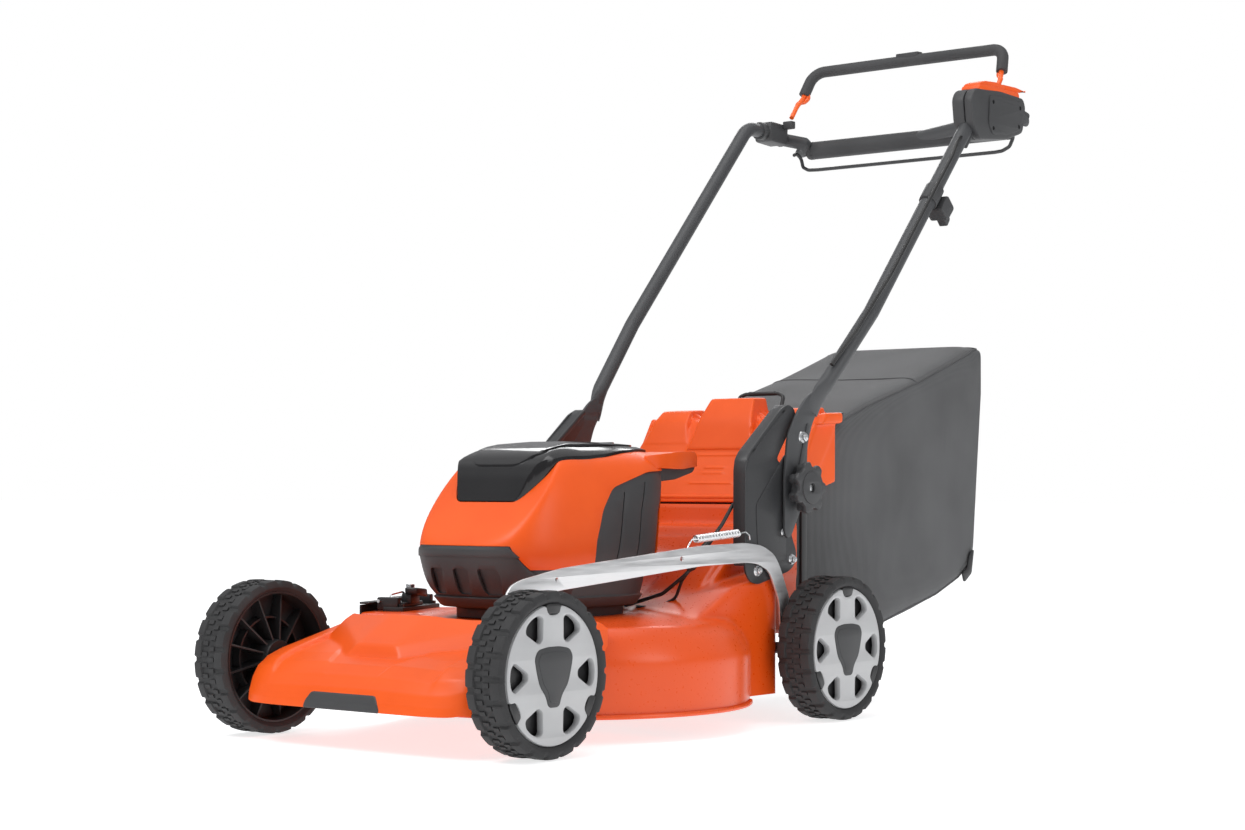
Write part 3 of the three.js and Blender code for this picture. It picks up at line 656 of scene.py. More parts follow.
# %% Tyre rubber
tyre_rubber, rubber = shader_of("tyre_rubber")
bloom = pattern(tyre_rubber, scale=26.0, Detail=5.0)
skin = pattern(tyre_rubber, scale=1600.0, Detail=2.0)
link(tyre_rubber, by_colour(tyre_rubber, bloom, (0.026, 0.026, 0.027), (0.042, 0.042, 0.043)), rubber,
     "Base Color")
link(tyre_rubber, by_range(tyre_rubber, bloom, 0.62, 0.78), rubber, "Roughness")
rubber.inputs["Specular IOR Level"].default_value = 0.35
bump(tyre_rubber, rubber, skin, 0.1, 0.7)

# %% [markdown]
# The bag is a ribbed polyester cloth. Its ribs follow each panel, so the pattern reads the piece's own
# UV map, laid out in metres: a wave across U makes the ribs about 3 mm apart, a finer one across V is the
# thread that binds them, and a slow noise keeps any two hands' breadths from looking the same.


# %% Bag cloth
def cloth(name, colour, other, rib=0.0030, thread=0.0011):
    material, shader = shader_of(name)
    tree = material.node_tree
    laid = tree.nodes.new("ShaderNodeUVMap")
    laid.uv_map = "cloth"

    def wave(direction, pitch):
        texture = tree.nodes.new("ShaderNodeTexWave")
        texture.bands_direction = direction
        texture.wave_profile = "SIN"
        texture.inputs["Scale"].default_value = 2 * math.pi / 20 / pitch
        texture.inputs["Distortion"].default_value = 0.5
        texture.inputs["Detail"].default_value = 1.0
        tree.links.new(laid.outputs["UV"], texture.inputs["Vector"])
        return texture.outputs["Fac"]

    ribs, binding = wave("X", rib), wave("Y", thread)
    weave = tree.nodes.new("ShaderNodeMath")
    weave.operation = "MULTIPLY_ADD"
    weave.inputs[1].default_value = 0.35
    tree.links.new(binding, weave.inputs[0])
    tree.links.new(ribs, weave.inputs[2])
    cloud = pattern(material, scale=9.0, Detail=4.0)
    tone = tree.nodes.new("ShaderNodeMath")
    tone.operation = "MULTIPLY_ADD"
    tone.inputs[1].default_value = 0.5
    tree.links.new(weave.outputs[0], tone.inputs[0])
    tree.links.new(cloud, tone.inputs[2])
    link(material, by_colour(material, tone.outputs[0], colour, other, 0.45, 1.35), shader, "Base Color")
    shader.inputs["Roughness"].default_value = 0.82
    shader.inputs["Sheen Weight"].default_value = 0.25
    shader.inputs["Sheen Roughness"].default_value = 0.5
    bump(material, shader, weave.outputs[0], 0.5, 0.8)
    return material


bag_cloth = cloth("bag_cloth", (0.030, 0.031, 0.032), (0.078, 0.080, 0.083))
bag_binding = cloth("bag_binding", (0.030, 0.030, 0.032), (0.052, 0.053, 0.055), 0.0016, 0.0009)


def fit(piece, material, body, slot, *nodes, angle=35):
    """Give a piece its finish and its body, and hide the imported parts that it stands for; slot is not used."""
    piece.data.materials.clear()
    piece.data.materials.append(material)
    smooth(piece, angle)
    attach(piece, body)
    if nodes:
        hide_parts(*nodes)
    return piece
# %% [markdown]
# The deck is one pressed steel sheet: a round chamber for the blade with a stepped shoulder, a square
# rear part that carries the handle, a ramp that grows into the chute of the bag, and a short tunnel on
# the right for side discharge. It is a blended skin, so the ramp, the shoulder and the chute run into
# each other as pressed sheet does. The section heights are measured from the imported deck.

# %% Deck: the blended shape
deck_low, deck_high = corners("deck_shell")
RIM_REACH = deck_high.x
DECK_R = RIM_REACH - 6
DECK_LOW = deck_low.z
DECK_TOP = corners("housing_base")[0].z - 0.3
CHUTE_HALF = 148
CHUTE_BACK = deck_high.y
CHUTE_TOP = deck_high.z
REAR_HALF = 189.8
BELOW = DECK_LOW - 10
SHEET = 2.5
DOOR_TURN = math.radians(180 + 20.7)
OUT = (math.cos(DOOR_TURN), math.sin(DOOR_TURN))
DOOR_REACH = 251


def from_blade(x, y):
    return np.hypot(x, y - BLADE_Y)


def chamber(x, y, z):
    r = from_blade(x, y)
    shoulder = above(r, z, [(150, DECK_TOP), (222, 144), (236, 131), (DECK_R, 104)])
    return soft_max([r - DECK_R, *shoulder, z - DECK_TOP, BELOW - z], 1.6)


def rear_part(x, y, z):
    top = above(y, z, [(60, 146), (150, 190), (248, 205)])
    return soft_max([np.abs(x) - REAR_HALF, 60 - y, y - 248, *top, BELOW - z], 3.0)


def ramp(x, y, z):
    top = above(y, z, [(104, 152), (190, 225), (285, 252)])
    return soft_max([np.abs(x) - CHUTE_HALF, 104 - y, y - CHUTE_BACK - 4, *top, 118 - z], 3.0)


def ledge(x, y, z):
    front = above(y, z, [(282, 246), (296, 268)])
    return soft_max([np.abs(x) - CHUTE_HALF, *front, z - 268, 200 - z, y - CHUTE_BACK - 4], 1.6)


def collar(x, y, z):
    front = above(y, z, [(316, 262), (326, CHUTE_TOP)])
    return soft_max([np.abs(x) - CHUTE_HALF, *front, z - CHUTE_TOP, 118 - z, y - CHUTE_BACK - 4], 1.6)


def pressed_panel(x, y, z):
    """The raised panels on each side of the ramp."""
    top = above(y, z, [(112, 164), (186, 228), (212, 236)])
    side = np.abs(x)
    return soft_max([side - 138, 52 - side, *top, 122 - y, y - 214, 140 - z], 2.0)


def tunnel(x, y, z):
    reach = x * OUT[0] + (y - BLADE_Y) * OUT[1]
    along = -x * OUT[1] + (y - BLADE_Y) * OUT[0]
    return soft_max([reach - DOOR_REACH - 4, 165 - reach, -45 - along, along - 118, z - 154, BELOW - z], 3.0)


def deck_distance(x, y, z):
    rear = soft_min([ramp(x, y, z), rear_part(x, y, z), ledge(x, y, z), collar(x, y, z)], 3.0)
    rear = soft_min([rear, pressed_panel(x, y, z)], 1.5)
    return soft_min([chamber(x, y, z), rear, tunnel(x, y, z)], 3.2)


# %% [markdown]
# The seeds only have to be near the final surface. The skin is then opened with Bisect where the real
# deck is open: all round below, at the mouth of the chute and at the side discharge. Solidify turns it
# into sheet, inwards, so the outside keeps its size. The rolled rim is a rod bent round the foot.

# %% Deck: from solids to sheet
chute_line = [(104, 118), (104, 152), (190, 225), (285, 252), (322, 270), (328, CHUTE_TOP),
              (CHUTE_BACK + 4, CHUTE_TOP), (CHUTE_BACK + 4, 118)]
rear_line = [(60, BELOW), (60, 146), (150, 190), (248, 205), (248, BELOW)]
tunnel_seed = block(165, DOOR_REACH + 4, -45 + BLADE_Y, 118 + BLADE_Y, BELOW, 154)
about_blade = at(0, BLADE_Y, 0)
tunnel_seed.data.transform(Matrix.Translation(about_blade) @ Matrix.Rotation(DOOR_TURN, 4, "Z")
                           @ Matrix.Translation(-about_blade))
deck = blended("deck", [
    bar(DECK_R, (0, BLADE_Y, BELOW), (0, BLADE_Y, 118), "Z", 128),
    bar(236, (0, BLADE_Y, BELOW), (0, BLADE_Y, DECK_TOP), "Z", 128),
    plate("rear_seed", rear_line, -REAR_HALF, REAR_HALF, "X"),
    plate("chute_seed", chute_line, -CHUTE_HALF, CHUTE_HALF, "X"),
    tunnel_seed,
], deck_distance, voxel=3.4, keep=0.42)

edit(deck)
bpy.ops.mesh.bisect(plane_co=at(0, 0, DECK_LOW + 1), plane_no=(0, 0, 1), clear_inner=True)
bpy.ops.mesh.select_all(action="SELECT")
bpy.ops.mesh.bisect(plane_co=at(0, CHUTE_BACK - 0.5, 0), plane_no=(0, 1, 0), clear_outer=True)
bpy.ops.mesh.select_all(action="SELECT")
bpy.ops.mesh.bisect(plane_co=about_blade + Vector((*OUT, 0)) * (DOOR_REACH + 0.4) * MM,
                    plane_no=(*OUT, 0), clear_outer=True)
rear_foot = at(0, 180, DECK_LOW + 8)
pick(deck, "FACE", lambda f: f.calc_center_median().y > rear_foot.y)
bpy.ops.mesh.bisect(plane_co=rear_foot, plane_no=(0, 0, 1), clear_inner=True)
bpy.ops.mesh.select_all(action="SELECT")
bpy.ops.mesh.delete_loose()
leave()
apply(deck, "SOLIDIFY", thickness=SHEET * MM, offset=-1, use_even_offset=False)

foot_turns = np.radians(np.arange(-220, 41, 3))
foot_line = [(252.4 * math.cos(t), BLADE_Y + 252.4 * math.sin(t), DECK_LOW + 3.4) for t in foot_turns]
rolled_rim = rod("rolled_rim", foot_line, 3.2, bend=3, fine=3)
nose_sheet = plate("nose_sheet", [(-385, 56), (-345, 96), (-290, 110), (-222, 116), (-222, 119), (-290, 114),
                                  (-345, 99), (-385, 59)], -165, 165, "X", 0.8)
fit(joined("deck_sheet", [deck, rolled_rim, nose_sheet]), deck_enamel, "chassis", "deck_paint", "deck_shell")

# %% [markdown]
# The nose cover is moulded plastic that hooks over the front of the deck. Its centre rises to a flat
# panel with facets falling away on both sides, and its corners swell into fenders in front of the
# wheels. Seen from above it never folds over itself, so it starts as a grid: its rows follow the bowed
# section from the lip to the rear, and every height is the largest of the body, the panel and the
# fenders there. Three more columns on each side make the walls, set in where the wheels swing.

# %% Nose cover
NOSE_HALF = 191.5
NOSE_LINE = [(-411.5, 49.5), (-410, 60), (-404, 76), (-394, 91), (-378, 103), (-352, 112), (-297, 125),
             (-243, 138), (-190, 146), (-120, 153)]
PANEL_FRONT = (33, -349, 127)
RIDGE_R = 306


def body_of_nose(share_along, rear):
    """A point of the middle section, a share of the way from the lip to the rear edge."""
    places = np.array(NOSE_LINE)
    run = np.concatenate(([0], np.cumsum(np.hypot(*np.diff(places, axis=0).T))))
    end = np.interp(rear, places[:, 0], run)
    return np.interp(share_along * end, run, places[:, 0]), np.interp(share_along * end, run, places[:, 1])


def panel_height(side, y, r):
    across, along = side - PANEL_FRONT[0], y - PANEL_FRONT[1]
    planes = [PANEL_FRONT[2] + rise for rise in (
        0.510 * along / 0.860, (0.4967 * along - 0.1856 * across) / 0.8479,
        (0.626 * along - 0.347 * across) / 0.698 * 1.2, 2.1 * along,
        29 - 0.95 * (side - 130) + 0.27 * (y + 264))]
    return soft_min([*planes, 161 + (r - RIDGE_R) * 1.6], 0.7)


def top_of_nose(x, y, base):
    side = np.abs(x)
    inner = 137 + (y + 400) * 0.10
    swell = 1 / (1 + np.exp(-(side - inner) / 1.7))
    lip = (1 / (1 + np.exp(-(y + 392) / 4.0)))
    step = 3.2 / (1 + np.exp(-(side - 92 - (y + 300) * 0.5) / 1.2)) * lip * (y < -255)
    fender = base + 9.5 * swell * lip - 0.10 * (side - 181).clip(0, 20) ** 2
    return soft_max([base + step, fender, panel_height(side, y, from_blade(x, y))], 0.7)


COLUMNS = np.linspace(-NOSE_HALF, NOSE_HALF, 181)
ROWS = 131
bpy.ops.object.select_all(action="DESELECT")
bpy.ops.mesh.primitive_grid_add(x_subdivisions=len(COLUMNS) + 5, y_subdivisions=ROWS - 1, size=1)
nose = named("nose")
grid = []
for k in range(ROWS):
    share = np.abs(COLUMNS) / NOSE_HALF
    rear = BLADE_Y - np.sqrt(240.0 ** 2 - np.minimum(np.abs(COLUMNS), 191) ** 2)
    body_y, body_z = body_of_nose(k / (ROWS - 1), rear)
    y = body_y + 26 * share ** 8 * (1 - k / (ROWS - 1)) ** 0.5
    z = top_of_nose(COLUMNS, y, body_z - 8 * share ** 2 * min(1, k / 24))
    row = np.stack([COLUMNS, y, z], axis=1)
    for sign in (1, -1):
        edge_y, edge_z = row[-1][1], row[-1][2]
        low = min(51.0, edge_z - 0.4)
        arch = 1 / (1 + math.exp(-(edge_y + 352) / 2.0)) / (1 + math.exp((edge_y + 176) / 2.0))
        under = edge_z - 3 - (edge_z - 3 - max(low, 113 + (edge_y + 240) * 0.06)) * arch
        under = max(min(under, edge_z - 0.3), low)
        inset = 8 * arch
        wall = [(NOSE_HALF, edge_y, under), (NOSE_HALF - inset, edge_y, under - 0.8),
                (NOSE_HALF - inset, edge_y, low)]
        wall = np.array(wall) * (sign, 1, 1)
        row = np.concatenate((row, wall)) if sign > 0 else np.concatenate((wall[::-1], row))
    grid.append(row)
points = np.concatenate(grid)
columns = len(COLUMNS) + 6
order = np.lexsort((mesh_points(nose)[:, 0], np.round(mesh_points(nose)[:, 1], 4)))
placed = np.empty_like(points)
placed[order] = points
set_points(nose, placed)
tidy(nose, 0.01)
apply(nose, "SOLIDIFY", thickness=2.6 * MM, offset=-1, use_even_offset=False)
tidy(nose, 0.01)
fit(named_piece(nose, "nose_cover"), cover_orange, "chassis", "orange_plastic", "front_cover", angle=28)
print("nose:", len(nose.data.polygons), "faces")

# %% [markdown]
# Let into the lip of the nose is a dark scuff panel. It is an outline plate whose points are then
# pushed back onto the nose, so it follows the bow exactly and stands 0.8 mm proud of it.

# %% Scuff panel


def face_of_nose(x, z):
    """Where the front of the nose stands at these places."""
    places = np.array(NOSE_LINE)
    return np.interp(z, places[:6, 1], places[:6, 0]) + 26 * (np.abs(x) / NOSE_HALF) ** 8


scuff_outline = softened([(-66, 49.4), (66, 49.4), (63, 58), (55, 70), (-55, 70), (-63, 58)], 4)
scuff = plate("scuff", scuff_outline, -1.2, 1.0, "Y", 0.5)
apply(scuff, "REMESH", mode="VOXEL", voxel_size=1.0 * MM)
points = mesh_points(scuff)
points[:, 1] += face_of_nose(points[:, 0], points[:, 2].clip(50, 80)) + 0.2
set_points(scuff, points)
fit(named_piece(scuff, "scuff_panel"), charcoal, "chassis", "dark_plastic", "front_insert", angle=50)
# %% [markdown]
# The motor and the battery sit under a housing like a turtle's back: an orange moulded cover, a dark
# grille across its front, a dark base, a vent panel let into each side and a glossy lid on top. They all
# follow one surface, so that surface is lofted once from its level sections. Each part is the slice of
# it that an outline cuts out, a little proud of the surface or a little behind it.

# %% Housing surface
HOUSE_Y = -38
SECTIONS = [(165, 92, 122, 122, 3.2), (190, 106, 148, 138, 3.4), (225, 113, 161, 146, 3.5),
            (250, 114, 164, 150, 3.5), (300, 108, 150, 163, 3.2), (340, 97, 128, 171, 2.9),
            (362, 84, 104, 168, 2.6), (376, 58, 66, 150, 2.4), (380, 26, 34, 96, 2.2)]


def soft_floor(value, least, ease=3.0):
    """The larger of the two, eased where they cross."""
    gap = (value - least) / ease
    return least + ease * (math.log1p(math.exp(gap)) if gap < 30 else gap)


def section_at(z):
    """The housing's section at a height, on a curve through the measured ones."""
    heights = [section[0] for section in SECTIONS]
    k = min(max(np.searchsorted(heights, z) - 1, 0), len(SECTIONS) - 2)
    t = (z - heights[k]) / (heights[k + 1] - heights[k])
    before, after = SECTIONS[max(k - 1, 0)], SECTIONS[min(k + 2, len(SECTIONS) - 1)]
    here, following = SECTIONS[k], SECTIONS[k + 1]
    values = []
    for p, a, b, q in zip(before[1:], here[1:], following[1:], after[1:]):
        run = heights[k + 1] - heights[k]
        left = (b - p) / max(heights[k + 1] - before[0], 1) * run
        right = (q - a) / max(after[0] - heights[k], 1) * run
        values.append((2 * t**3 - 3 * t**2 + 1) * a + (t**3 - 2 * t**2 + t) * left
                      + (3 * t**2 - 2 * t**3) * b + (t**3 - t**2) * right)
    return values


COVER_FRONT = [(240, -300), (245, -206), (250, -197.5), (310, -141), (400, -60)]
LID_FRONT = [(240, -170), (306, -144), (336, -134), (350, -126), (361, -112), (369, -92), (375, -64), (380, -20)]


def house(name, proud, low=165.0, front_line=COVER_FRONT):
    """The housing as a solid, its surface moved out by so many millimetres, its front cut to a line."""
    heights = [*np.linspace(low, 340, 22), *np.linspace(346, 376, 9), 378.4, 379.6, 380]
    rings = []
    for z in heights:
        x, front, back, square = section_at(z)
        rise = proud * min(1, max(0.12, (z - 330) / 46))
        ring = super_ring(x + proud, HOUSE_Y, front + proud, back + proud, z + rise, square, 5, count=144)
        front_y = float(np.interp(z, *zip(*front_line))) - proud * 0.8
        spread = 0.11 * min(1, max(0, (z - 290) / 50))
        rings.append([(x * (1 + spread * min(1, max(0, (y + 20) / 90))), soft_floor(y, front_y), z)
                      for x, y, z in ring])
    return loft(name, rings)


def skin_of_house(name, outer, inner, low=165.0, front_line=COVER_FRONT):
    return cut_away(house(name, outer, low, front_line), house("core_of_" + name, inner, low - 8, front_line))


def kept_inside(piece, tool):
    return cut_away(piece, tool, "INTERSECT")


LID_HALF = [(51, -147), (63, -135), (80, -112), (86, -60), (84, 0), (77, 60), (66, 113)]
LID_PLAN = softened([(-x, y) for x, y in LID_HALF] + [(x, y) for x, y in reversed(LID_HALF)], 12)
VENT = softened([(-60, 214), (-57, 250), (-38, 292), (-12, 321), (62, 343), (122, 346), (124, 328), (104, 278),
                 (84, 214)], 9)
GRILLE = [(-130, 140), (-130, 206), (-97, 206), (-88, 224), (-77, 246), (77, 246), (88, 224), (97, 206),
          (130, 206), (130, 140)]


def grown(outline, by, centre):
    """An outline made larger all round, about a centre."""
    result = []
    for point in outline:
        arm = Vector(point) - Vector(centre)
        result.append(tuple(Vector(centre) + arm * (1 + by / arm.length)))
    return result


cover = skin_of_house("cover", 0, -3.2)
kept_inside(cover, block(-140, 140, -260, 200, 216, 390))
cut_away(cover, plate("lid_gap", grown(LID_PLAN, 1.0, (0, -30)), 290, 400, "Z", 0.1))
cut_away(cover, plate("vent_gap", grown(VENT, 0.8, (20, 270)), -140, 140, "X", 0.1))
cut_away(cover, plate("grille_gap", grown(GRILLE, 0.8, (0, 180)), -260, -100, "Y", 0.1))
rounded(cover, 1.1, 2, 40)
print("cover:", len(cover.data.polygons), "faces")

# %% [markdown]
# Behind the lid the cover ends in a lip, the hand-hold for lifting the machine, with a dark underside.
# The lip is an outline given its width, and its rear corners are then rounded off in plan.

# %% Rear lip, vent panels and lid
lip = plate("lip", softened([(70, 350), (76, 366), (140, 372), (186, 373), (199, 363), (197, 353), (150, 348)],
                            7), -101, 101, "X", 2.2)
LIP_PLAN = softened([(-84, 60), (84, 60), (99, 92), (98, 150), (90, 201), (-90, 201), (-98, 150), (-99, 92)], 14)
kept_inside(lip, plate("lip_plan", LIP_PLAN, 330, 390, "Z", 0.4))
rounded(lip, 2.0, 3, 35)
fit(joined("housing_orange", [cover, lip]), cover_orange, "chassis", "orange_plastic", "housing_cover")

under_lip = plate("under_lip", softened([(66, 336), (66, 349.6), (150, 349.6), (196, 352), (190, 344),
                                         (150, 334), (104, 330)], 5), -86, 86, "X", 1.5)
kept_inside(under_lip, plate("under_plan", grown(LIP_PLAN, -3, (0, 130)), 320, 360, "Z", 0.4))
cut_away(under_lip, block(-70, 70, 40, 108, 320, 360))

for side, place in ((1, "left"), (-1, "right")):
    vent = skin_of_house("vent_" + place, -2.4, -6.5)
    kept_inside(vent, plate("vent_shape", VENT, 40 * side, 140 * side, "X", 0.1))
    for groove in ([(-14, 222), (12, 316)], [(28, 222), (56, 330)]):
        (y0, z0), (y1, z1) = groove
        line = [(y0, z0), (y1, z1), (y1 + 2.2, z1), (y0 + 2.2, z0)]
        shallow = plate("groove", line, 85 * side, 118 * side, "X", 0.1)
        cut_away(vent, kept_inside(shallow, cut_away(house("near", 6, 180), house("far", -4.2, 172))))
    rounded(vent, 0.8, 2, 40)
    fit(named_piece(vent, "vent_" + place), charcoal, "chassis", "dark_plastic", "vent_panel_" + place)

lid_band = house("lid_band", 2.2, 250, LID_FRONT)
kept_inside(lid_band, plate("lid_shape", LID_PLAN, 304, 400, "Z", 0.1))
hollow = house("lid_hollow", -1.8, 240, LID_FRONT)
hollow_shape = plate("hollow_shape", grown(LID_PLAN, -3.5, (0, -30)), 290, 400, "Z", 0.1)
cut_away(lid_band, kept_inside(hollow, hollow_shape))
cut_away(lid_band, house("under_lid", -2.5, 240))
rounded(lid_band, 1.6, 3, 40)
lid_top = skin_of_house("lid_top", 4.2, 0.5, 250, LID_FRONT)
LID_TOP_HALF = [(38, -129), (56, -112), (62, -80), (63, -30), (60, 40), (52, 100)]
LID_TOP_PLAN = softened([(-x, y) for x, y in LID_TOP_HALF] + [(x, y) for x, y in reversed(LID_TOP_HALF)], 14)
kept_inside(lid_top, plate("lid_top_shape", LID_TOP_PLAN, 318, 400, "Z", 0.1))
rounded(lid_top, 1.5, 3, 40)
lid_catch = plate("lid_catch", softened([(-24, 84), (24, 84), (20, 96), (-20, 96)], 3), 381, 385.2, "Z", 1.0)
fit(joined("battery_cover", [lid_band, lid_top, lid_catch]), lid_black, "battery_lid", "lid_plastic",
    "battery_lid")

# %% [markdown]
# The grille is the intake. It wraps the front corners, and three deep windows with solid bars between
# them open under a brow. The windows are cut clean through the skin, and a second skin behind closes
# them, so each is a real recess. The base carries on below the cover and steps in to a neck on the deck.

# %% Grille and base
grille = skin_of_house("grille", 1.2, -3.2)
kept_inside(grille, plate("grille_shape", GRILLE, -260, -96, "Y", 0.1))
for x, half, lean in ((-46, 12.5, 3), (0, 13, 0), (47, 15, -3)):
    window = softened([(x - half, 183), (x - half + lean, 217), (x + half + lean, 217), (x + half, 204),
                       (x + half - 5, 183)], 5)
    cut_away(grille, plate("window", window, -260, -120, "Y", 0.1))
rounded(grille, 1.4, 2, 40)
recess = skin_of_house("recess", -9.0, -12.0)
kept_inside(recess, plate("recess_shape", softened([(-88, 172), (-88, 234), (88, 234), (88, 172)], 6),
                          -260, -120, "Y", 0.1))
brow = skin_of_house("brow", 2.4, 0.2)
BROW = [(-88, 231), (-78, 244), (78, 244), (88, 231), (78, 232.5), (-78, 232.5)]
kept_inside(brow, plate("brow_shape", softened(BROW, 3), -260, -110, "Y", 0.1))
rounded(brow, 0.8, 2, 40)
fit(joined("intake_grille", [grille, recess, brow]), charcoal, "chassis", "dark_plastic", "housing_grille")

base_rings = []
for z, x, front, back, square in [
    (DECK_TOP - 1, 86, 114, 118, 3), (162, 86, 114, 118, 3), (163.5, 87, 116, 119, 3),
    (165, 98, 130, 130, 3.2), (167, 101, 134, 133, 3.2), (178, 106, 142, 138, 3.4), (180, 103.5, 139, 135, 3.4),
    (196, 106.5, 146, 139, 3.4), (222, 110, 158, 142.5, 3.5), (226, 110, 158, 142.5, 3.5),
]:
    base_rings.append(super_ring(x, HOUSE_Y, front, back, z, square, count=120))
base = loft("base", base_rings)
hollow = [super_ring(x - 6, HOUSE_Y, f - 6, b - 6, z, s, count=120) for z, x, f, b, s in
          [(158, 88, 118, 120, 3), (200, 100, 140, 130, 3.3), (232, 106, 152, 138, 3.5)]]
cut_away(base, loft("base_inside", hollow))
rounded(base, 0.8, 2, 40)
fit(joined("housing_foot", [base, under_lip]), charcoal, "chassis", "dark_plastic", "housing_base")
print("grille and base made")
# %% [markdown]
# A wheel has four parts: the rubber tyre with scalloped shoulder lugs, a black nylon disc with ribs on
# its inner side, a silver trim pressed into the face and a dark hub cap. One wheel is modelled on an axle
# through the machine's middle and copied to the four places, each copy with meshes of its own. The tyre
# is a loft of rings about the axle whose points rise and fall with the lugs.

# %% Tyre
TRIM_R = corners("front_left_trim")[1].z - AXLE_Z
FACE_X = corners("front_left_tyre")[1].x
BACK_X = corners("front_left_tyre")[0].x
LUGS = 22
AROUND = LUGS * 12


def ring_about_axle(x, radius_at):
    turns = 2 * math.pi * np.arange(AROUND) / AROUND
    return [(x, radius_at(t) * math.cos(t), AXLE_Z + radius_at(t) * math.sin(t)) for t in turns]


def lug(turn, phase, share):
    """1 on a lug and 0 in the gap after it, with short flanks."""
    place = (turn * LUGS / (2 * math.pi) + phase) % 1.0
    return min(1.0, max(0.0, (share / 2 - abs(place - 0.5)) / 0.05 + 0.5))


TYRE_SECTION = [
    (BACK_X + 5, 84.7, 0, 0), (BACK_X + 1.5, 88, 0, 0), (BACK_X, 90.5, 0, 0), (BACK_X + 0.5, 93, 1.2, 0.5),
    (BACK_X + 2.5, 95.6, 3.2, 0.5), (BACK_X + 6, 96.6, 3.2, 0.5), (BACK_X + 15, 97.0, 3.0, 0.5),
    (BACK_X + 17, 97.2, 0, 0.5), (BACK_X + 28, 97.4, 0, 0), (FACE_X - 17, 97.2, 0, 0),
    (FACE_X - 15, 97.0, 3.0, 0), (FACE_X - 6, 96.6, 3.2, 0), (FACE_X - 2.5, 95.4, 3.4, 0),
    (FACE_X - 0.6, 92.4, 2.6, 0), (FACE_X, 90.6, 0.6, 0), (FACE_X - 1.2, 88.2, 0, 0), (FACE_X - 5, 84.7, 0, 0),
]
rings = [ring_about_axle(x, lambda t, r=r, rise=rise, phase=phase: r + rise * lug(t, phase, 0.74))
         for x, r, rise, phase in TYRE_SECTION]
tyre = loft("tyre", [*rings, rings[0]], close_ends=False)
tidy(tyre)
tread = []
for k in range(LUGS * 2):
    for x, phase in ((BACK_X + 22, 0), (FACE_X - 22, 0.5)):
        stud = block(x - 4.5, x + 4.5, -2.6, 2.6, AXLE_Z + 96, AXLE_Z + 99.4, "stud")
        turn = Matrix.Rotation(2 * math.pi * (k + phase) / (LUGS * 2), 4, "X")
        centre = Matrix.Translation(at(0, 0, AXLE_Z))
        stud.data.transform(centre @ turn @ centre.inverted())
        tread.append(stud)
tyre = joined("tyre", [tyre, *tread])
print("tyre:", len(tyre.data.polygons), "faces")

# %% [markdown]
# The trim has six wide spokes. The windows between them are three-sided, wider at the rim, with bevelled
# flanks, and the rim is notched at twelve, four and eight o'clock where dark tabs of the disc behind lock
# it. All of it is one outline with holes; the bevel of the curve makes the flanks.

# %% Trim, hub cap and disc


def polar(radius, turn):
    return (radius * math.cos(math.radians(turn)), AXLE_Z + radius * math.sin(math.radians(turn)))


trim_edge = []
for turn in range(0, 360, 3):
    off = min(abs((turn - notch + 180) % 360 - 180) for notch in (90, 210, 330))
    if off >= 12:
        trim_edge.append(polar(TRIM_R, turn))
    elif off == 9:
        trim_edge.append(polar(TRIM_R - 1, turn))
    elif off == 6:
        trim_edge.append(polar(TRIM_R - 11, turn))
    elif off == 0:
        trim_edge.append(polar(TRIM_R - 12.5, turn))
windows = []
for k in range(6):
    corners_of_window = [polar(46, k * 60 + 5), polar(46, k * 60 - 5), polar(71, k * 60 - 14.5),
                         polar(76, k * 60 - 9), polar(76.8, k * 60), polar(76, k * 60 + 9),
                         polar(71, k * 60 + 14.5)]
    windows.append(softened(corners_of_window, 4, 4))
trim_face = plate("trim_face", softened(trim_edge, 2.0, 2), FACE_X - 13, FACE_X - 2.2, "X", 2.6, windows)
lip_of_trim = loft("trim_lip", [
    [(x, r * math.cos(t), AXLE_Z + r * math.sin(t)) for t in 2 * math.pi * np.arange(96) / 96]
    for x, r in ((FACE_X - 12, 83.0), (FACE_X - 5, TRIM_R + 0.2), (FACE_X - 4, 82.6), (FACE_X - 6, 80.8),
                 (FACE_X - 12, 80.4))], close_ends=False)
apply(lip_of_trim, "SOLIDIFY", thickness=0.6 * MM, offset=-1)
notch_cut = [block(-400, 400, -17, 17, AXLE_Z + 60, AXLE_Z + 96, "notch") for _ in range(3)]
for cutter, turn in zip(notch_cut, (0, 120, 240)):
    centre = Matrix.Translation(at(0, 0, AXLE_Z))
    cutter.data.transform(centre @ Matrix.Rotation(math.radians(turn), 4, "X") @ centre.inverted())
    cut_away(lip_of_trim, cutter)
trim = joined("trim", [trim_face, lip_of_trim])

SHIELD = [(-29, 31), (-11, 34), (11, 34), (29, 31), (35, 21), (31, 4), (26, -11), (14, -25), (10, -38),
          (-10, -38), (-14, -25), (-26, -11), (-31, 4), (-35, 21)]
shield = [(y, AXLE_Z + z) for y, z in SHIELD]
cap = plate("cap", softened(shield, 6), FACE_X - 4.4, FACE_X - 1.0, "X", 1.4)
cap_centre = plate("cap_centre", softened(grown(shield, -6, (0, AXLE_Z)), 5), FACE_X - 3, FACE_X - 0.2, "X", 1.1)
cap = joined("cap", [cap, cap_centre])


def turned(name, section, sides=96, tube=False):
    """A solid turned about the axle from (x, radius) pairs; a tube is closed on itself instead of capped."""
    turns = 2 * math.pi * np.arange(sides) / sides
    rings = [[(x, r * math.cos(t), AXLE_Z + r * math.sin(t)) for t in turns] for x, r in section]
    piece = loft(name, [*rings, rings[0]] if tube else rings, close_ends=not tube)
    if tube:
        tidy(piece)
    return piece


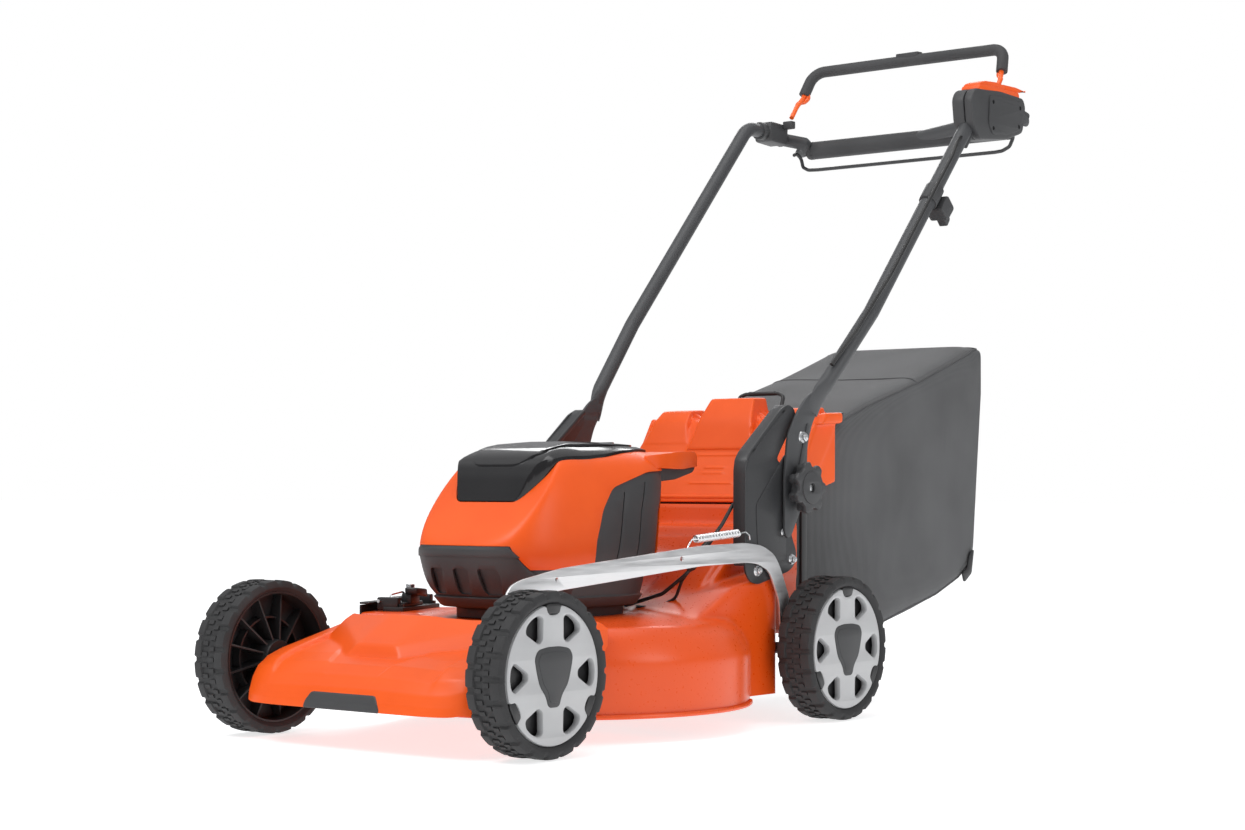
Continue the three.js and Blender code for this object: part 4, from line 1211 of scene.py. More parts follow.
disc = [turned("disc", [(BACK_X + 34, 5), (BACK_X + 34, 84.6), (BACK_X + 39, 84.8), (BACK_X + 40, 83),
                        (BACK_X + 40, 5)]),
        turned("barrel", [(BACK_X + 4, 84.9), (BACK_X + 36, 84.9), (BACK_X + 36, 81.5), (BACK_X + 4, 82.5)],
               tube=True),
        turned("boss", [(BACK_X + 0.6, 16), (BACK_X + 0.6, 21), (BACK_X + 3, 22.5), (BACK_X + 36, 24)]),
        turned("ring", [(BACK_X + 20, 50), (BACK_X + 20, 52.4), (BACK_X + 36, 53), (BACK_X + 36, 49.4)],
               tube=True)]
for k in range(12):
    rib_outline = [(22, BACK_X + 6), (82, BACK_X + 20), (83, BACK_X + 36), (22, BACK_X + 36)]
    rib = plate("rib", [(x, AXLE_Z + r) for r, x in rib_outline], -1.4, 1.4, "Y", 0.5)
    centre = Matrix.Translation(at(0, 0, AXLE_Z))
    rib.data.transform(centre @ Matrix.Rotation(math.radians(30 * k + 15), 4, "X") @ centre.inverted())
    disc.append(rib)
for turn in (90, 210, 330):
    tab = plate("tab", softened([(-10.5, AXLE_Z + 72.5), (10.5, AXLE_Z + 72.5), (14.5, AXLE_Z + 83),
                                 (9, AXLE_Z + 84.6), (-9, AXLE_Z + 84.6), (-14.5, AXLE_Z + 83)], 3),
                FACE_X - 13, FACE_X - 2.0, "X", 1.5)
    centre = Matrix.Translation(at(0, 0, AXLE_Z))
    tab.data.transform(centre @ Matrix.Rotation(math.radians(turn - 90), 4, "X") @ centre.inverted())
    disc.append(tab)
disc = joined("disc", disc)

# %% Four wheels
for end, y in (("front", -AXLE_Y), ("rear", AXLE_Y)):
    for side, mirror in (("left", 1), ("right", -1)):
        place = Matrix.Translation((0, y * MM, 0)) @ Matrix.Scale(mirror, 4, (1, 0, 0))
        wheel = f"{end}_{side}"
        for source, part, material, slot in (
            (tyre, "tyre", tyre_rubber, "tyre_rubber"), (disc, "core", black_nylon, "dark_plastic"),
            (trim, "trim", silver_trim, "trim_silver"), (cap, "cap", charcoal, "dark_plastic"),
        ):
            copy = twin(source, f"{wheel}_wheel_{part}", place)
            fit(copy, material, f"{wheel}_wheel", slot, f"{wheel}_{part}", angle=32)
for source in (tyre, disc, trim, cap):
    bpy.data.objects.remove(source)
print("four wheels placed")
# %% [markdown]
# The rear flap closes the chute when the bag is off. It is moulded in the cover orange: a curved front
# with pressed lines, a tall block in the middle to hold it by, two lower blocks beside it, and a rolled
# ridge and an ear at each end. Blocks with slanting sides that melt into a curve are a blended skin.

# %% Rear flap
FLAP_HALF = 155


def flap_distance(x, y, z):
    side = np.abs(x)
    top = above(y, z, [(331, 301), (344, 328), (357, 356), (377, 394), (400, 424), (446, 431)])
    front = soft_max([side - FLAP_HALF + (x < 0) * (z - 380).clip(0, 60) * 0.3, y - 447, *top, 300.6 - z,
                      *below(y, z, [(340, 301), (374, 312), (434, 392), (447, 418)])], 1.6)
    ear = soft_max([side - FLAP_HALF, 149 - side, *above(y, z, [(345, 330), (400, 420)]), y - 447,
                    *below(y, z, [(374, 312), (447, 332)]), z - 428], 1.0)
    middle_block = soft_max([side - 53 + (z - 392) * 0.24 + (y - 440) * 0.06,
                             *above(y, z, [(371, 388), (383, 425), (403, 457), (440, 458)]), y - 438,
                             380 - z], 1.1)
    low_block = soft_max([side - 144 + (z - 400) * 0.2, 68 - side + (z - 400) * 0.35,
                          *above(y, z, [(380, 398), (392, 424), (410, 440), (446, 442)]), y - 446,
                          390 - z], 1.1)
    ridge = soft_max([side - 168 + (x < 0) * 60, 154 - side - (x < 0) * 60,
                      *above(y, z, [(391, 414), (404, 432), (448, 434)]), y - 448,
                      *below(y, z, [(391, 414), (446, 418)])], 1.6)
    lines = sum(0.9 * np.exp(-((z - level - (side / 120) ** 2) / 1.3) ** 2) * (side < reach)
                for level, reach in ((330, 40), (345, 18), (353, 18), (372, 40)))
    shape = soft_min([front, middle_block, low_block, ridge], 1.2)
    return soft_min([shape, ear], 1.0) - lines


flap_seed = [(341, 302), (332, 303), (352, 345), (376, 396), (398, 426), (446, 436), (447, 418), (434, 392),
             (374, 312)]
flap = blended("flap", [
    plate("flap_seed", flap_seed, -FLAP_HALF, FLAP_HALF, "X", 0.2),
    plate("block_seed", [(372, 388), (384, 425), (403, 456), (438, 457), (438, 388)], -50, 50, "X", 0.2),
    plate("low_seed", [(384, 402), (396, 430), (410, 440), (445, 441), (445, 402)], -143, 143, "X", 0.2),
    plate("ridge_seed", [(394, 416), (404, 431), (447, 433), (447, 419)], 100, 167, "X", 0.2),
    plate("ear_seed", [(376, 316), (390, 405), (446, 428), (446, 334)], 149.4, 154.6, "X", 0.1),
    plate("ear_seed", [(376, 316), (390, 405), (446, 428), (446, 334)], -154.6, -149.4, "X", 0.1),
], flap_distance, voxel=2.3, keep=0.4)
hinge_pin = bar(3.5, (-150, 338, 309), (150, 338, 309), name="hinge_pin")
fit(joined("rear_flap_cover", [flap, hinge_pin]), cover_orange, "rear_flap", "orange_plastic", "rear_flap")

# %% [markdown]
# The grass bag is ribbed cloth sewn over a wire frame, open at the front, where it hooks over the chute.
# Its sections from front to back are lofted, and each section bellies a little between the wires: the
# sides swell, the top dips and the bottom hangs in folds. The sag is written into the rings, because a
# sewn bag is held on all its edges and a simulation would only find the same shape.

# %% Bag
BAG_HALF = 147
BAG_TOP = [(356, 292), (366, 306), (388, 350), (442, 396), (453, 421), (470, 428), (560, 460), (700, 500),
           (868, 555), (886, 552)]
BAG_LOW = [(356, 168), (372, 160), (400, 133), (430, 117), (480, 110), (588, 106), (680, 130), (758, 146),
           (833, 174), (862, 196), (886, 460)]
bag_wander = np.random.default_rng(7).uniform(0, 2 * math.pi, 12)


def folds(a, b, scale):
    """A slow wandering height, the same on every run."""
    total = 0.0
    for k in range(6):
        angle = k * 1.05 + 0.3
        total = total + math.sin((a * math.cos(angle) + b * math.sin(angle)) * scale * (1 + 0.37 * k)
                                 + bag_wander[k]) / (1.4 + 0.5 * k)
    return total


def bag_ring(y):
    low = float(np.interp(y, *zip(*BAG_LOW)))
    high = float(np.interp(y, *zip(*BAG_TOP)))
    middle_z, half_z = (low + high) / 2, max((high - low) / 2, 3)
    slack = math.sin(math.pi * min(1, max(0, (y - 372) / 500))) ** 0.6
    ring = []
    for i in range(176):
        a = 2 * math.pi * i / 176
        c, s = math.cos(a), math.sin(a)
        u = math.copysign(abs(c) ** (2 / 11), c)
        v = math.copysign(abs(s) ** (2 / 11), s)
        across, up_down = 1 - abs(u) ** 3, 1 - abs(v) ** 3
        z = middle_z + v * half_z
        x = u * BAG_HALF
        x += math.copysign(1, u) * up_down * slack * (2.2 + 1.6 * folds(y, z, 0.016)) * (abs(u) > 0.5)
        if v > 0.5:
            z -= across * slack * (4.5 + 1.6 * folds(x, y, 0.014))
        elif v < -0.5:
            z -= across * slack * (1.5 - 2.6 * folds(x, y, 0.020)) + 2.0 * math.sin(y / 21.0) * slack * across
        ring.append((x, y, z))
    return ring


bag_stations = [356, 362, 368, 376, 388, 400, 414, 428, 442, 448, 453, 462, 474, *range(490, 860, 14), 862, 872,
                880, 884, 886]
bag_rings = [bag_ring(y) for y in bag_stations]
for share, y in ((0.9, 887.0), (0.6, 887.4), (0.3, 887.6)):
    bag_rings.append([(x * share, y, 506 + (z - 506) * share) for x, _, z in bag_rings[len(bag_stations) - 1]])
bag = loft("bag", bag_rings, close_ends=False)
edit(bag)
back_edge = at(0, 887, 0).y
pick(bag, "EDGE", lambda e: e.is_boundary and e.verts[0].co.y > back_edge)
bpy.ops.mesh.edge_face_add()
bpy.ops.mesh.select_all(action="SELECT")
bpy.ops.mesh.normals_make_consistent(inside=False)
leave()
apply(bag, "SOLIDIFY", thickness=1.4 * MM, offset=-1)


def lay_cloth(piece):
    """UVs in metres, each panel laid flat: the ribs run up the sides and the back, and along the top."""
    layer = piece.data.uv_layers.new(name="cloth")
    for face in piece.data.polygons:
        n = face.normal
        for index in face.loop_indices:
            point = piece.data.vertices[piece.data.loops[index].vertex_index].co
            if abs(n.x) > 0.7:
                layer.data[index].uv = (point.y, point.z)
            elif abs(n.y) > 0.8:
                layer.data[index].uv = (point.x, point.z)
            else:
                layer.data[index].uv = (point.x, point.y)


lay_cloth(bag)
fit(named_piece(bag, "bag_shell"), bag_cloth, "bag", "bag_cloth", "grass_bag", angle=50)
print("bag:", len(bag.data.polygons), "faces")

# %% [markdown]
# Piping binds the seams where the panels meet, a plastic frame holds the mouth, and a black tab is sewn
# to the lower corner. The piping follows the same edge lines as the loft, so it always lies on a seam.

# %% Bag seams, frame and tabs
seams = []
for side in (1, -1):
    for corner in (22 if side > 0 else 66, 154 if side > 0 else 110):
        line = [bag_rings[k][corner] for k in range(7, len(bag_stations))]
        seams.append(rod(f"seam_{side}_{corner}", line, 1.9, bend=2, fine=2))
back_line = [bag_rings[len(bag_stations) - 1][i] for i in range(22, 67, 2)]
seams.append(rod("seam_back", back_line, 1.9, bend=2, fine=2))
for y in (453, 700):
    k = min(range(len(bag_stations)), key=lambda n: abs(bag_stations[n] - y))
    seams.append(rod("seam_top", [bag_rings[k][i] for i in range(22, 67, 2)], 1.2, bend=2, fine=2))
binding = joined("bag_binding_tape", seams)
lay_cloth(binding)
fit(binding, bag_binding, "bag", "bag_cloth")
mouth = [(-138, 362, 176), (-138, 364, 286), (138, 364, 286), (138, 362, 176), (-138, 362, 176)]
frame_parts = [rod("mouth_frame", mouth, 4.5, bend=16, fine=3)]
for side in (1, -1):
    strut = plate("strut", softened([(364, 168), (364, 292), (390, 348), (398, 344), (376, 288), (378, 172)], 4),
                  side * 147.5, side * 151.5, "X", 0.9)
    corner = plate("corner_tab", softened([(828, 174), (850, 188), (858, 226), (846, 222), (836, 196), (822, 190)],
                                          4), side * 147.2, side * 150.6, "X", 0.8)
    top_mark = plate("wire_eye", softened([(456, 414), (474, 424), (478, 436), (458, 430)], 3),
                     side * 136, side * 149.6, "X", 0.8)
    frame_parts += [strut, corner, top_mark]
fit(joined("bag_frame", frame_parts), black_nylon, "bag", "dark_plastic")

loop = mirrored_line([(40, 470, 436), (41, 478, 462), (30, 480, 466), (0, 480, 466)])
grip_ends = [(-24, 480.3, 466.4), (24, 480.3, 466.4)]
carry = [rod("carry_loop", loop, 2.9, bend=9, fine=4), rod("carry_grip", grip_ends, 3.5)]
rounded(carry[1], 1.5, 3)
for side in (1, -1):
    carry.append(bar(4.2, (side * 36, 470, 436.5), (side * 42.8, 470, 436.5), name="carry_eye"))
fit(joined("bag_carry_handle", carry), black_nylon, "bag_handle", "dark_plastic", "bag_handle")
# %% [markdown]
# The side brackets carry the handle. Each is stamped plate with its front edge turned in over a large
# radius, bolted to the deck and clamped to the handle's flattened foot by a scalloped hand knob. The
# plate and the turned edge are outlines given thickness; the heavy edge radius on the band is the fold.

# %% Brackets and bolts
BRACKET = [(165, 245), (165, 347), (176, 372), (250, 432), (268, 440), (284, 434), (288, 422), (252, 378),
           (240, 362), (262, 352), (296, 352), (300, 330), (272, 268), (290, 232), (284, 214), (270, 206),
           (196, 190), (178, 194), (166, 208)]
FOLD_BAND = [(166, 216), (165, 245), (165, 347), (168, 362), (176, 372), (256, 434), (266, 440), (270, 434),
             (262, 428), (182, 366), (174, 356), (171, 345), (171, 245), (172, 216)]


def bolt(place, side, wide=8.5, tall=6.0, name="bolt"):
    """A flanged hexagon head that faces out of the machine."""
    x, y, z = place
    parts = [bar(wide, (x, y, z), (x + side * 1.8, y, z), name=name, tip=wide - 1.2, sides=28),
             bar(wide * 0.68, (x + side * 1.2, y, z), (x + side * tall, y, z), sides=6),
             bar(wide * 0.34, (x + side * tall, y, z), (x + side * (tall + 1.6), y, z), sides=16)]
    rounded(parts[1], 0.8, 2, 25)
    rounded(parts[2], 0.5, 2, 40)
    return joined(name, parts)


for side, place in ((1, "left"), (-1, "right")):
    stamped = plate("stamped", softened(BRACKET, 7), side * 190.2, side * 193.2, "X", 0.7)
    fold = plate("fold", softened(FOLD_BAND, 5), side * 172, side * 193.2, "X", 2.6)
    pad = plate("pad", softened([(196, 212), (190, 300), (262, 372), (282, 352), (262, 262), (262, 222)], 8),
                side * 192, side * 194.4, "X", 0.9)
    fit(joined("bracket_plate_" + place, [stamped, fold, pad]), black_steel, "chassis", "black_steel",
        "bracket_" + place)
    fit(joined("bracket_bolts_" + place, [
        bolt((side * 193.6, 256, 261), side, 6.6, 5), bolt((side * 193.2, 278, 223), side, 7.5, 5.5),
        bolt((side * 193.2, 194, 209), side, 8, 5.5)]), zinc, "chassis", "zinc")

# %% [markdown]
# The knob is a seven-lobed disc with deep finger grips. Its lobes are one outline whose radius rises and
# falls seven times; a smaller disc behind leaves the shadow gap, and the centre hole shows the bolt.

# %% Clamp knobs
KNOB_Y, KNOB_Z = 281, 323
for side, place in ((1, "left"), (-1, "right")):
    turns = np.radians(np.arange(0, 360, 3))
    lobes = [(KNOB_Y + (33.2 + 3.6 * math.tanh(2.2 * math.cos(7 * t))) * math.cos(t),
              KNOB_Z + (33.2 + 3.6 * math.tanh(2.2 * math.cos(7 * t))) * math.sin(t)) for t in turns]
    well = arc(KNOB_Y, KNOB_Z, 6.2, 0, 345, 23)
    face_disc = plate("knob_face", lobes, side * 216, side * 224.6, "X", 2.4, [well])
    grips = [(KNOB_Y + (29.5 + 4.4 * math.tanh(2.2 * math.cos(7 * t))) * math.cos(t),
              KNOB_Z + (29.5 + 4.4 * math.tanh(2.2 * math.cos(7 * t))) * math.sin(t)) for t in turns]
    grip_disc = plate("knob_grips", grips, side * 206.6, side * 219, "X", 2.0, [well])
    crown = plate("knob_crown", arc(KNOB_Y, KNOB_Z, 23, 0, 354, 59), side * 222, side * 226.4, "X", 1.8, [well])
    boss = bar(16, (side * 200.9, KNOB_Y, KNOB_Z), (side * 208, KNOB_Y, KNOB_Z))
    fit(joined("clamp_knob_disc_" + place, [face_disc, grip_disc, crown, boss]), charcoal, "knob_" + place,
        "dark_plastic", "clamp_knob_" + place)
    shank = bar(5.0, (side * 206, KNOB_Y, KNOB_Z), (side * 223, KNOB_Y, KNOB_Z), sides=24)
    rounded(shank, 0.8)
    fit(named_piece(shank, "clamp_screw_" + place), zinc, "knob_" + place, "zinc")

# %% [markdown]
# One flat galvanised bar joins the front and the rear axle cranks, so that all four wheels change height
# together. It is cut from strip, so its section is plain and only its edges are eased. A coil spring
# hooks into it and carries the machine's weight; the lever beside the rear wheel moves it.

# %% Height bar, spring and lever
BAR = [(-330, 50), (-334, 192), (-324, 204), (-307, 210), (-232, 222.5), (56, 245.5), (158, 248), (198, 243.5),
       (226, 231), (240, 214), (264, 168), (267, 126), (241, 126), (238, 168), (214, 208), (186, 219), (158, 221),
       (56, 218.5), (-232, 195.5), (-288, 189), (-304, 178), (-304, 50)]
strip = plate("strip", softened(BAR, 12, 6), 196.6, 199.6, "X", 0.5,
              [arc(14, 229, 3.2, 0, 330, 11), arc(-240, 209, 2.6, 0, 330, 11)])
pins = [bar(4.2, (197, y, z), (200.2, y, z), sides=20) for y, z in ((-317, 62), (254, 136))]
fit(joined("height_strip", [strip, *pins]), galvanised, "height_bar", "zinc", "height_bar")

SPRING_FROM, SPRING_LENGTH, SPRING_TILT = (199.2, 36, 254), 112, math.radians(4)
COILS, COIL_R = 44, 4.5


def on_spring(along, radius, turn):
    x, y, z = SPRING_FROM
    run = (math.cos(SPRING_TILT), math.sin(SPRING_TILT))
    return (x + radius * math.cos(turn), y + along * run[0] - radius * math.sin(turn) * run[1],
            z + along * run[1] + radius * math.sin(turn) * run[0])


coil = [on_spring(8 + (SPRING_LENGTH - 16) * k / (COILS * 10), COIL_R, 2 * math.pi * k / 10)
        for k in range(COILS * 10 + 1)]
spring_wire = rod("spring_wire", coil, 1.05, bend=0.5, fine=2, step=40)
front_hook = [on_spring(9, COIL_R, 0), on_spring(4, 1.5, 0), on_spring(0, 0, 0), (198, 30, 246), (198, 24, 234),
              (197, 16, 229)]
back_hook = [on_spring(SPRING_LENGTH - 9, COIL_R, 0), on_spring(SPRING_LENGTH - 3, 1.5, 0),
             on_spring(SPRING_LENGTH + 10, 0, 0), (198, 168, 258), (196, 172, 252)]
hooks = [rod("front_hook", front_hook, 1.1, bend=3), rod("back_hook", back_hook, 1.1, bend=3)]
fit(joined("lift_spring_coil", [spring_wire, *hooks]), zinc, "height_bar", "zinc", "lift_spring")

stalk = plate("stalk", softened([(250, 112.5), (274, 112.5), (250, 248), (240, 246)], 3), -204.3, -200.3, "X", 0.8)
bpy.ops.mesh.primitive_uv_sphere_add(segments=28, ring_count=16, radius=1, location=at(-207, 245, 257),
                                     scale=(10 * MM, 11 * MM, 17.5 * MM))
lever_ball = settle(named("lever_ball"))
neck = bar(6.5, (-203, 246.5, 236), (-206, 245, 250), tip=8.5)
fit(joined("lever_knob", [lever_ball, neck]), charcoal, "rear_axle", "dark_plastic", "height_lever")
fit(named_piece(stalk, "lever_stalk"), black_steel, "rear_axle", "black_steel")

# %% [markdown]
# The axles are bent from round bar: a straight run across the machine, a flat crank arm at each end and
# a stub for the wheel. The run and stubs are bars with turned ends, and each arm is an outline with two
# round ends.

# %% Axles
for body, forward in (("front_axle", -1), ("rear_axle", 1)):
    low, high = corners(body)
    stub_r = min((high.z - low.z) / 2 - 4, 8)
    pivot_y, hub_y = forward * 262, forward * AXLE_Y
    parts = [bar(stub_r, (-201, pivot_y, AXLE_Z), (201, pivot_y, AXLE_Z), name="cross_run")]
    for side in (1, -1):
        first, second = (pivot_y, hub_y) if forward > 0 else (hub_y, pivot_y)
        outline = arc(second, AXLE_Z, 12, -90, 90, 12) + arc(first, AXLE_Z, 12, 90, 270, 12)
        parts.append(plate("crank_arm", outline, side * 200.3, side * 204.3, "X", 0.8))
        stub = bar(stub_r, (side * 203.5, hub_y, AXLE_Z), (side * 247.6, hub_y, AXLE_Z), name="stub")
        rounded(stub, 1.0)
        parts.append(stub)
    fit(joined(body + "_bent", parts), black_steel, body, "black_steel", body)
print("side parts made")
# %% [markdown]
# The handle is steel tube, 23 mm across. Its lower ends are flattened into lugs that fold on the
# brackets, and its upper ends bend level into a crossbar. The flattening is a loft whose section goes
# from a circle to a thin oval along the tube's own line.

# %% Tubes
TUBE_R = 11.5


def swept(name, stations, count=36):
    """A tube through stations of (place, half width across the machine, half width in its own plane)."""
    points = [Vector(place) for place, _, _ in stations]
    rings = []
    for k, (place, a, b) in enumerate(stations):
        tangent = (points[min(k + 1, len(points) - 1)] - points[max(k - 1, 0)]).normalized()
        across = (Vector((1, 0, 0)) - tangent * tangent.x).normalized()
        other = tangent.cross(across)
        rings.append([points[k] + across * a * math.cos(t) + other * b * math.sin(t)
                      for t in 2 * math.pi * np.arange(count) / count])
    return loft(name, rings)


LUG = [(250, 262), (256, 252), (266, 256), (296, 302), (304, 330), (306, 384), (318, 414), (338, 440), (326, 462),
       (306, 452), (280, 428), (258, 396), (250, 340)]
foot = [((198.7, 318, 430), 2.1, 15), ((199.6, 323, 440), 2.6, 15.5), ((201.2, 328, 449), 4.6, 15),
        ((203.4, 333.5, 459), 7.6, 13.8), ((205.6, 339.5, 467), 10.4, 12.2), ((207.4, 346, 475), TUBE_R, TUBE_R)]
upper_line = bent([(207.4, 345, 472), (221, 440, 578), (222, 752, 927), (223, 813, 927)], 42, 5)
for side, place in ((1, "left"), (-1, "right")):
    stations = foot + [(tuple(p), TUBE_R, TUBE_R) for p in upper_line[1:]]
    stations = [((side * p[0], p[1], p[2]), a, b) for p, a, b in stations]
    tube = swept("tube", stations)
    lug_plate = plate("lug", softened(LUG, 10), side * 196.6, side * 200.6, "X", 0.8,
                      [arc(326, 432, 3.4, 0, 330, 11)])
    rib = plate("lug_rib", softened([(272, 322), (279, 316), (300, 372), (310, 412), (304, 414), (292, 380)], 5),
                side * 199.6, side * 202.4, "X", 1.0)
    fit(joined("handle_tube_" + place + "_bent", [tube, lug_plate, rib]), tube_coat, "handle", "tube_paint",
        "handle_tube_" + place)
    fit(bolt((side * 200.4, 293, 394), side, 9.2, 6.5, "fold_bolt_" + place), zinc, "handle", "zinc")

cross_line = mirrored_line([(223, 812, 927), (227, 858, 925), (234, 899, 905), (0, 901, 903)])
crossbar = rod("crossbar_bent", cross_line, TUBE_R, bend=34, fine=8, step=6)
fit(crossbar, tube_coat, "handle", "tube_paint", "handle_crossbar")

grip_low, grip_high = corners("handle_grip")
GRIP_R = (grip_high.z - grip_low.z) / 2
turns = 2 * math.pi * np.arange(48) / 48
grip_sections = [(grip_low.x, 13.4), (grip_low.x + 0.8, 14.7), (grip_low.x + 3, GRIP_R), (grip_low.x + 9, GRIP_R),
                 (grip_low.x + 10, 14.4), (grip_low.x + 12, 14.4), (grip_low.x + 13, GRIP_R - 0.2)]
grip_sections += [(-x, r) for x, r in reversed(grip_sections)]
grip_y, grip_z = (grip_low.y + grip_high.y) / 2, (grip_low.z + grip_high.z) / 2
grip = loft("hand_grip", [[(x, grip_y + r * math.cos(t), grip_z + r * math.sin(t)) for t in turns]
                          for x, r in grip_sections])
fit(grip, soft_grip, "handle", "grip_foam", "handle_grip")

# %% [markdown]
# The switch box is two moulded halves screwed together round the tube. The outer half has a flat face
# with four sunk screws; the orange start button sits on top, low behind and running out into a pointed
# lever that shields it. Flat moulded parts like these are outlines with generous edge radii.

# %% Switch box and button
BOX = [(694, 925), (706, 940), (784, 946), (858, 944), (866, 930), (856, 888), (806, 872), (724, 862), (700, 884)]
inner_half = plate("inner_half", softened(BOX, 9), 205, 226, "X", 3.0)
outer_half = plate("outer_half", softened(BOX, 9), 226.6, 241.5, "X", 3.4)
FACE = [(748, 934), (790, 937), (848, 936), (855, 926), (846, 892), (804, 879), (756, 874), (744, 890)]
outer_face = plate("outer_face", softened(FACE, 7), 238, 244, "X", 1.5)
for y, z in ((757, 925), (842, 926), (757, 884), (838, 896)):
    cut_away(outer_face, bar(3.4, (239, y, z), (250, y, z), sides=20))
box_parts = [inner_half, outer_half, outer_face]
cable_boot = bar(5.5, (226, 716, 872), (226, 700, 850), tip=4)
box_parts.append(cable_boot)
fit(joined("switch_box_shell", box_parts), charcoal, "handle", "dark_plastic", "switch_box")
fit(joined("switch_box_screws", [bar(2.2, (239, y, z), (241.4, y, z), sides=12)
                                 for y, z in ((757, 925), (842, 926), (757, 884), (838, 896))]),
    zinc, "handle", "zinc")

low_part = plate("button_low", softened([(718, 940.4), (848, 940.4), (846, 951), (740, 951), (722, 948)], 4),
                 208, 240, "X", 1.8)
high_part = plate("button_high", softened([(722, 947), (800, 947), (806, 957.5), (780, 959.5), (742, 957), (726, 952)],
                                          5), 209.5, 238.5, "X", 2.6)
lever = plate("button_lever", softened([(796, 947), (838, 947), (846, 951), (874, 957), (842, 960), (800, 959)], 2.5),
              211, 237, "X", 1.8)
fit(joined("start_button_cap", [low_part, high_part, lever]), cover_orange, "start_button", "orange_plastic",
    "start_button")

# %% [markdown]
# On the far side a plain sleeve clamps the crossbar's bend, with a collar round the tube and a square
# socket that holds the foot of the bail. A clip lower down holds the cable against the tube.

# %% Clamp, clip and cables
sleeve = plate("sleeve", softened([(796, 910), (846, 907), (851, 942), (798, 944)], 8), -239, -205.5, "X", 3.5)
collar_ring = rod("collar", [(-223, 786, 927), (-223, 806, 927)], 15.2)
rounded(collar_ring, 1.6)
collar_end = rod("collar_end", [(-226.5, 846, 925.4), (-228, 862, 922.5)], 14.6)
rounded(collar_end, 1.6)
socket = block(-206.5, -187.5, 833, 845, 934, 947, "socket")
rounded(socket, 2.0)
fit(joined("bail_clamp", [sleeve, collar_ring, collar_end, socket]), charcoal, "handle", "dark_plastic",
    "crossbar_clamp")

clip_ring = rod("clip_ring", [(222, 596.5, 753), (222, 617.5, 776.5)], 14.6)
rounded(clip_ring, 1.2)
clip_box = plate("clip_box", softened([(606, 744), (626, 727), (646, 748), (626, 767)], 6), 210, 240, "X", 2.4)
clip_tail = plate("clip_tail", softened([(626, 730), (636, 720), (644, 731), (640, 744)], 3), 219, 233, "X", 1.4)
fit(joined("cable_holder", [clip_ring, clip_box, clip_tail]), charcoal, "handle", "dark_plastic", "cable_clip")

upper_run = [(224, 700, 868), (228, 684, 862), (234, 662, 850), (238, 640, 826), (237.5, 560, 738),
             (236.5, 470, 636), (226, 392, 548), (214.5, 346, 498)]
fit(rod("upper_cable_run", upper_run, 3.0, bend=30, fine=4, step=8), cable_jacket, "handle", "cable_black",
    "upper_cable")
lower_run = [(60, 70.5, 162), (62, 91, 165), (104, 97, 178), (140, 104, 206), (160, 122, 244), (165, 150, 272),
             (168, 172, 300)]
lower = rod("lower_run", lower_run, 2.6, bend=24, fine=4, step=8)
sleeve_line = [(148, 109.6, 220), (154.5, 116, 231), (160, 122.5, 244.5)]
boot = swept("boot", [((142, 105, 210), 3.2, 3.2), ((145, 107, 215), 6.2, 6.2), ((152, 113.5, 227), 6.8, 6.8),
                      ((159, 121, 242), 6.2, 6.2), ((160, 123, 246), 4.6, 4.6), ((161.4, 129, 252.6), 4.4, 4.4),
                      ((162, 133, 256), 3.0, 3.0)], 24)
whip = rod("second_run", [(70, 82, 160), (92, 100, 158), (118, 108, 172), (130, 106, 196), (141, 105, 208)], 2.2,
           bend=16, fine=3)
fit(joined("lower_cable_run", [lower, boot, whip]), cable_jacket, "chassis", "cable_black", "lower_cable")

# %% [markdown]
# The bail is an orange wire bow. A thick soft sleeve covers most of it and is open below, so the wire
# shows along its underside, and the wire's ends hook out of the sleeve. The drive bail is a thin black
# wire under the grip, with a set in each end like a flattened S.

# %% Bails
bow = [(194, 842, 953), (196, 861, 975), (192, 873, 989), (184, 896, 1035), (0, 911, 1035.2)]
wire = [rod("bow", mirrored_line(bow), 4.0, bend=26, fine=5, step=8)]
for side in (1, -1):
    hook = [(side * 196, 861, 975), (side * 196.5, 865, 981), (side * 190, 876, 984), (side * 184, 879, 990),
            (side * 186, 879, 1000), (side * 187.5, 886, 1016)]
    wire.append(rod("hook", hook, 3.6, bend=5, fine=4))
fit(joined("bail_wire", wire), bail_orange, "bail", "orange_plastic", "bail_rod")
sleeve_line = [(191.6, 876.6, 995.2), (184, 896, 1036), (0, 912, 1040)]
bail_sleeve = rod("bail_sleeve", mirrored_line(sleeve_line), 9.5, bend=34, fine=7, step=6)
rounded(bail_sleeve, 1.4, 3, 50)
label_pad = plate("pad", softened([(-26, 904), (18, 903), (20, 917), (-24, 918)], 3), 1044, 1052.4, "Z", 1.2)
fit(joined("bail_sleeve_soft", [bail_sleeve, label_pad]), soft_grip, "bail", "grip_foam", "bail_sheath")
thin = [(205, 866, 893), (207, 876, 897), (206, 889, 890), (200, 886, 874), (188, 884, 868), (172, 890, 868),
        (0, 890, 868)]
fit(rod("drive_wire", mirrored_line(thin), 3.0, bend=8, fine=4, step=10), black_steel, "drive_bail", "black_steel",
    "drive_bail")
print("handle parts made")
# %% [markdown]
# The side discharge is on the machine's right. A black flap closes it, hung on a steel rod in two posts
# and shut by a spring; the catch is a bent wire. All of it is modelled square to the machine and then
# turned about the blade's axis to where the tunnel points.

# %% Side discharge
TO_DOOR = (Matrix.Translation(about_blade) @ Matrix.Rotation(DOOR_TURN, 4, "Z")
           @ Matrix.Translation(-about_blade))
HINGE_REACH, HINGE_Z = 232, 168


def at_door(piece, name, material, body, slot, *nodes):
    piece.data.transform(TO_DOOR)
    return fit(named_piece(piece, name), material, body, slot, *nodes)


def door_block(r0, r1, s0, s1, z0, z1, edge=1.5):
    piece = block(r0, r1, BLADE_Y + s0, BLADE_Y + s1, z0, z1)
    return rounded(piece, edge, 2)


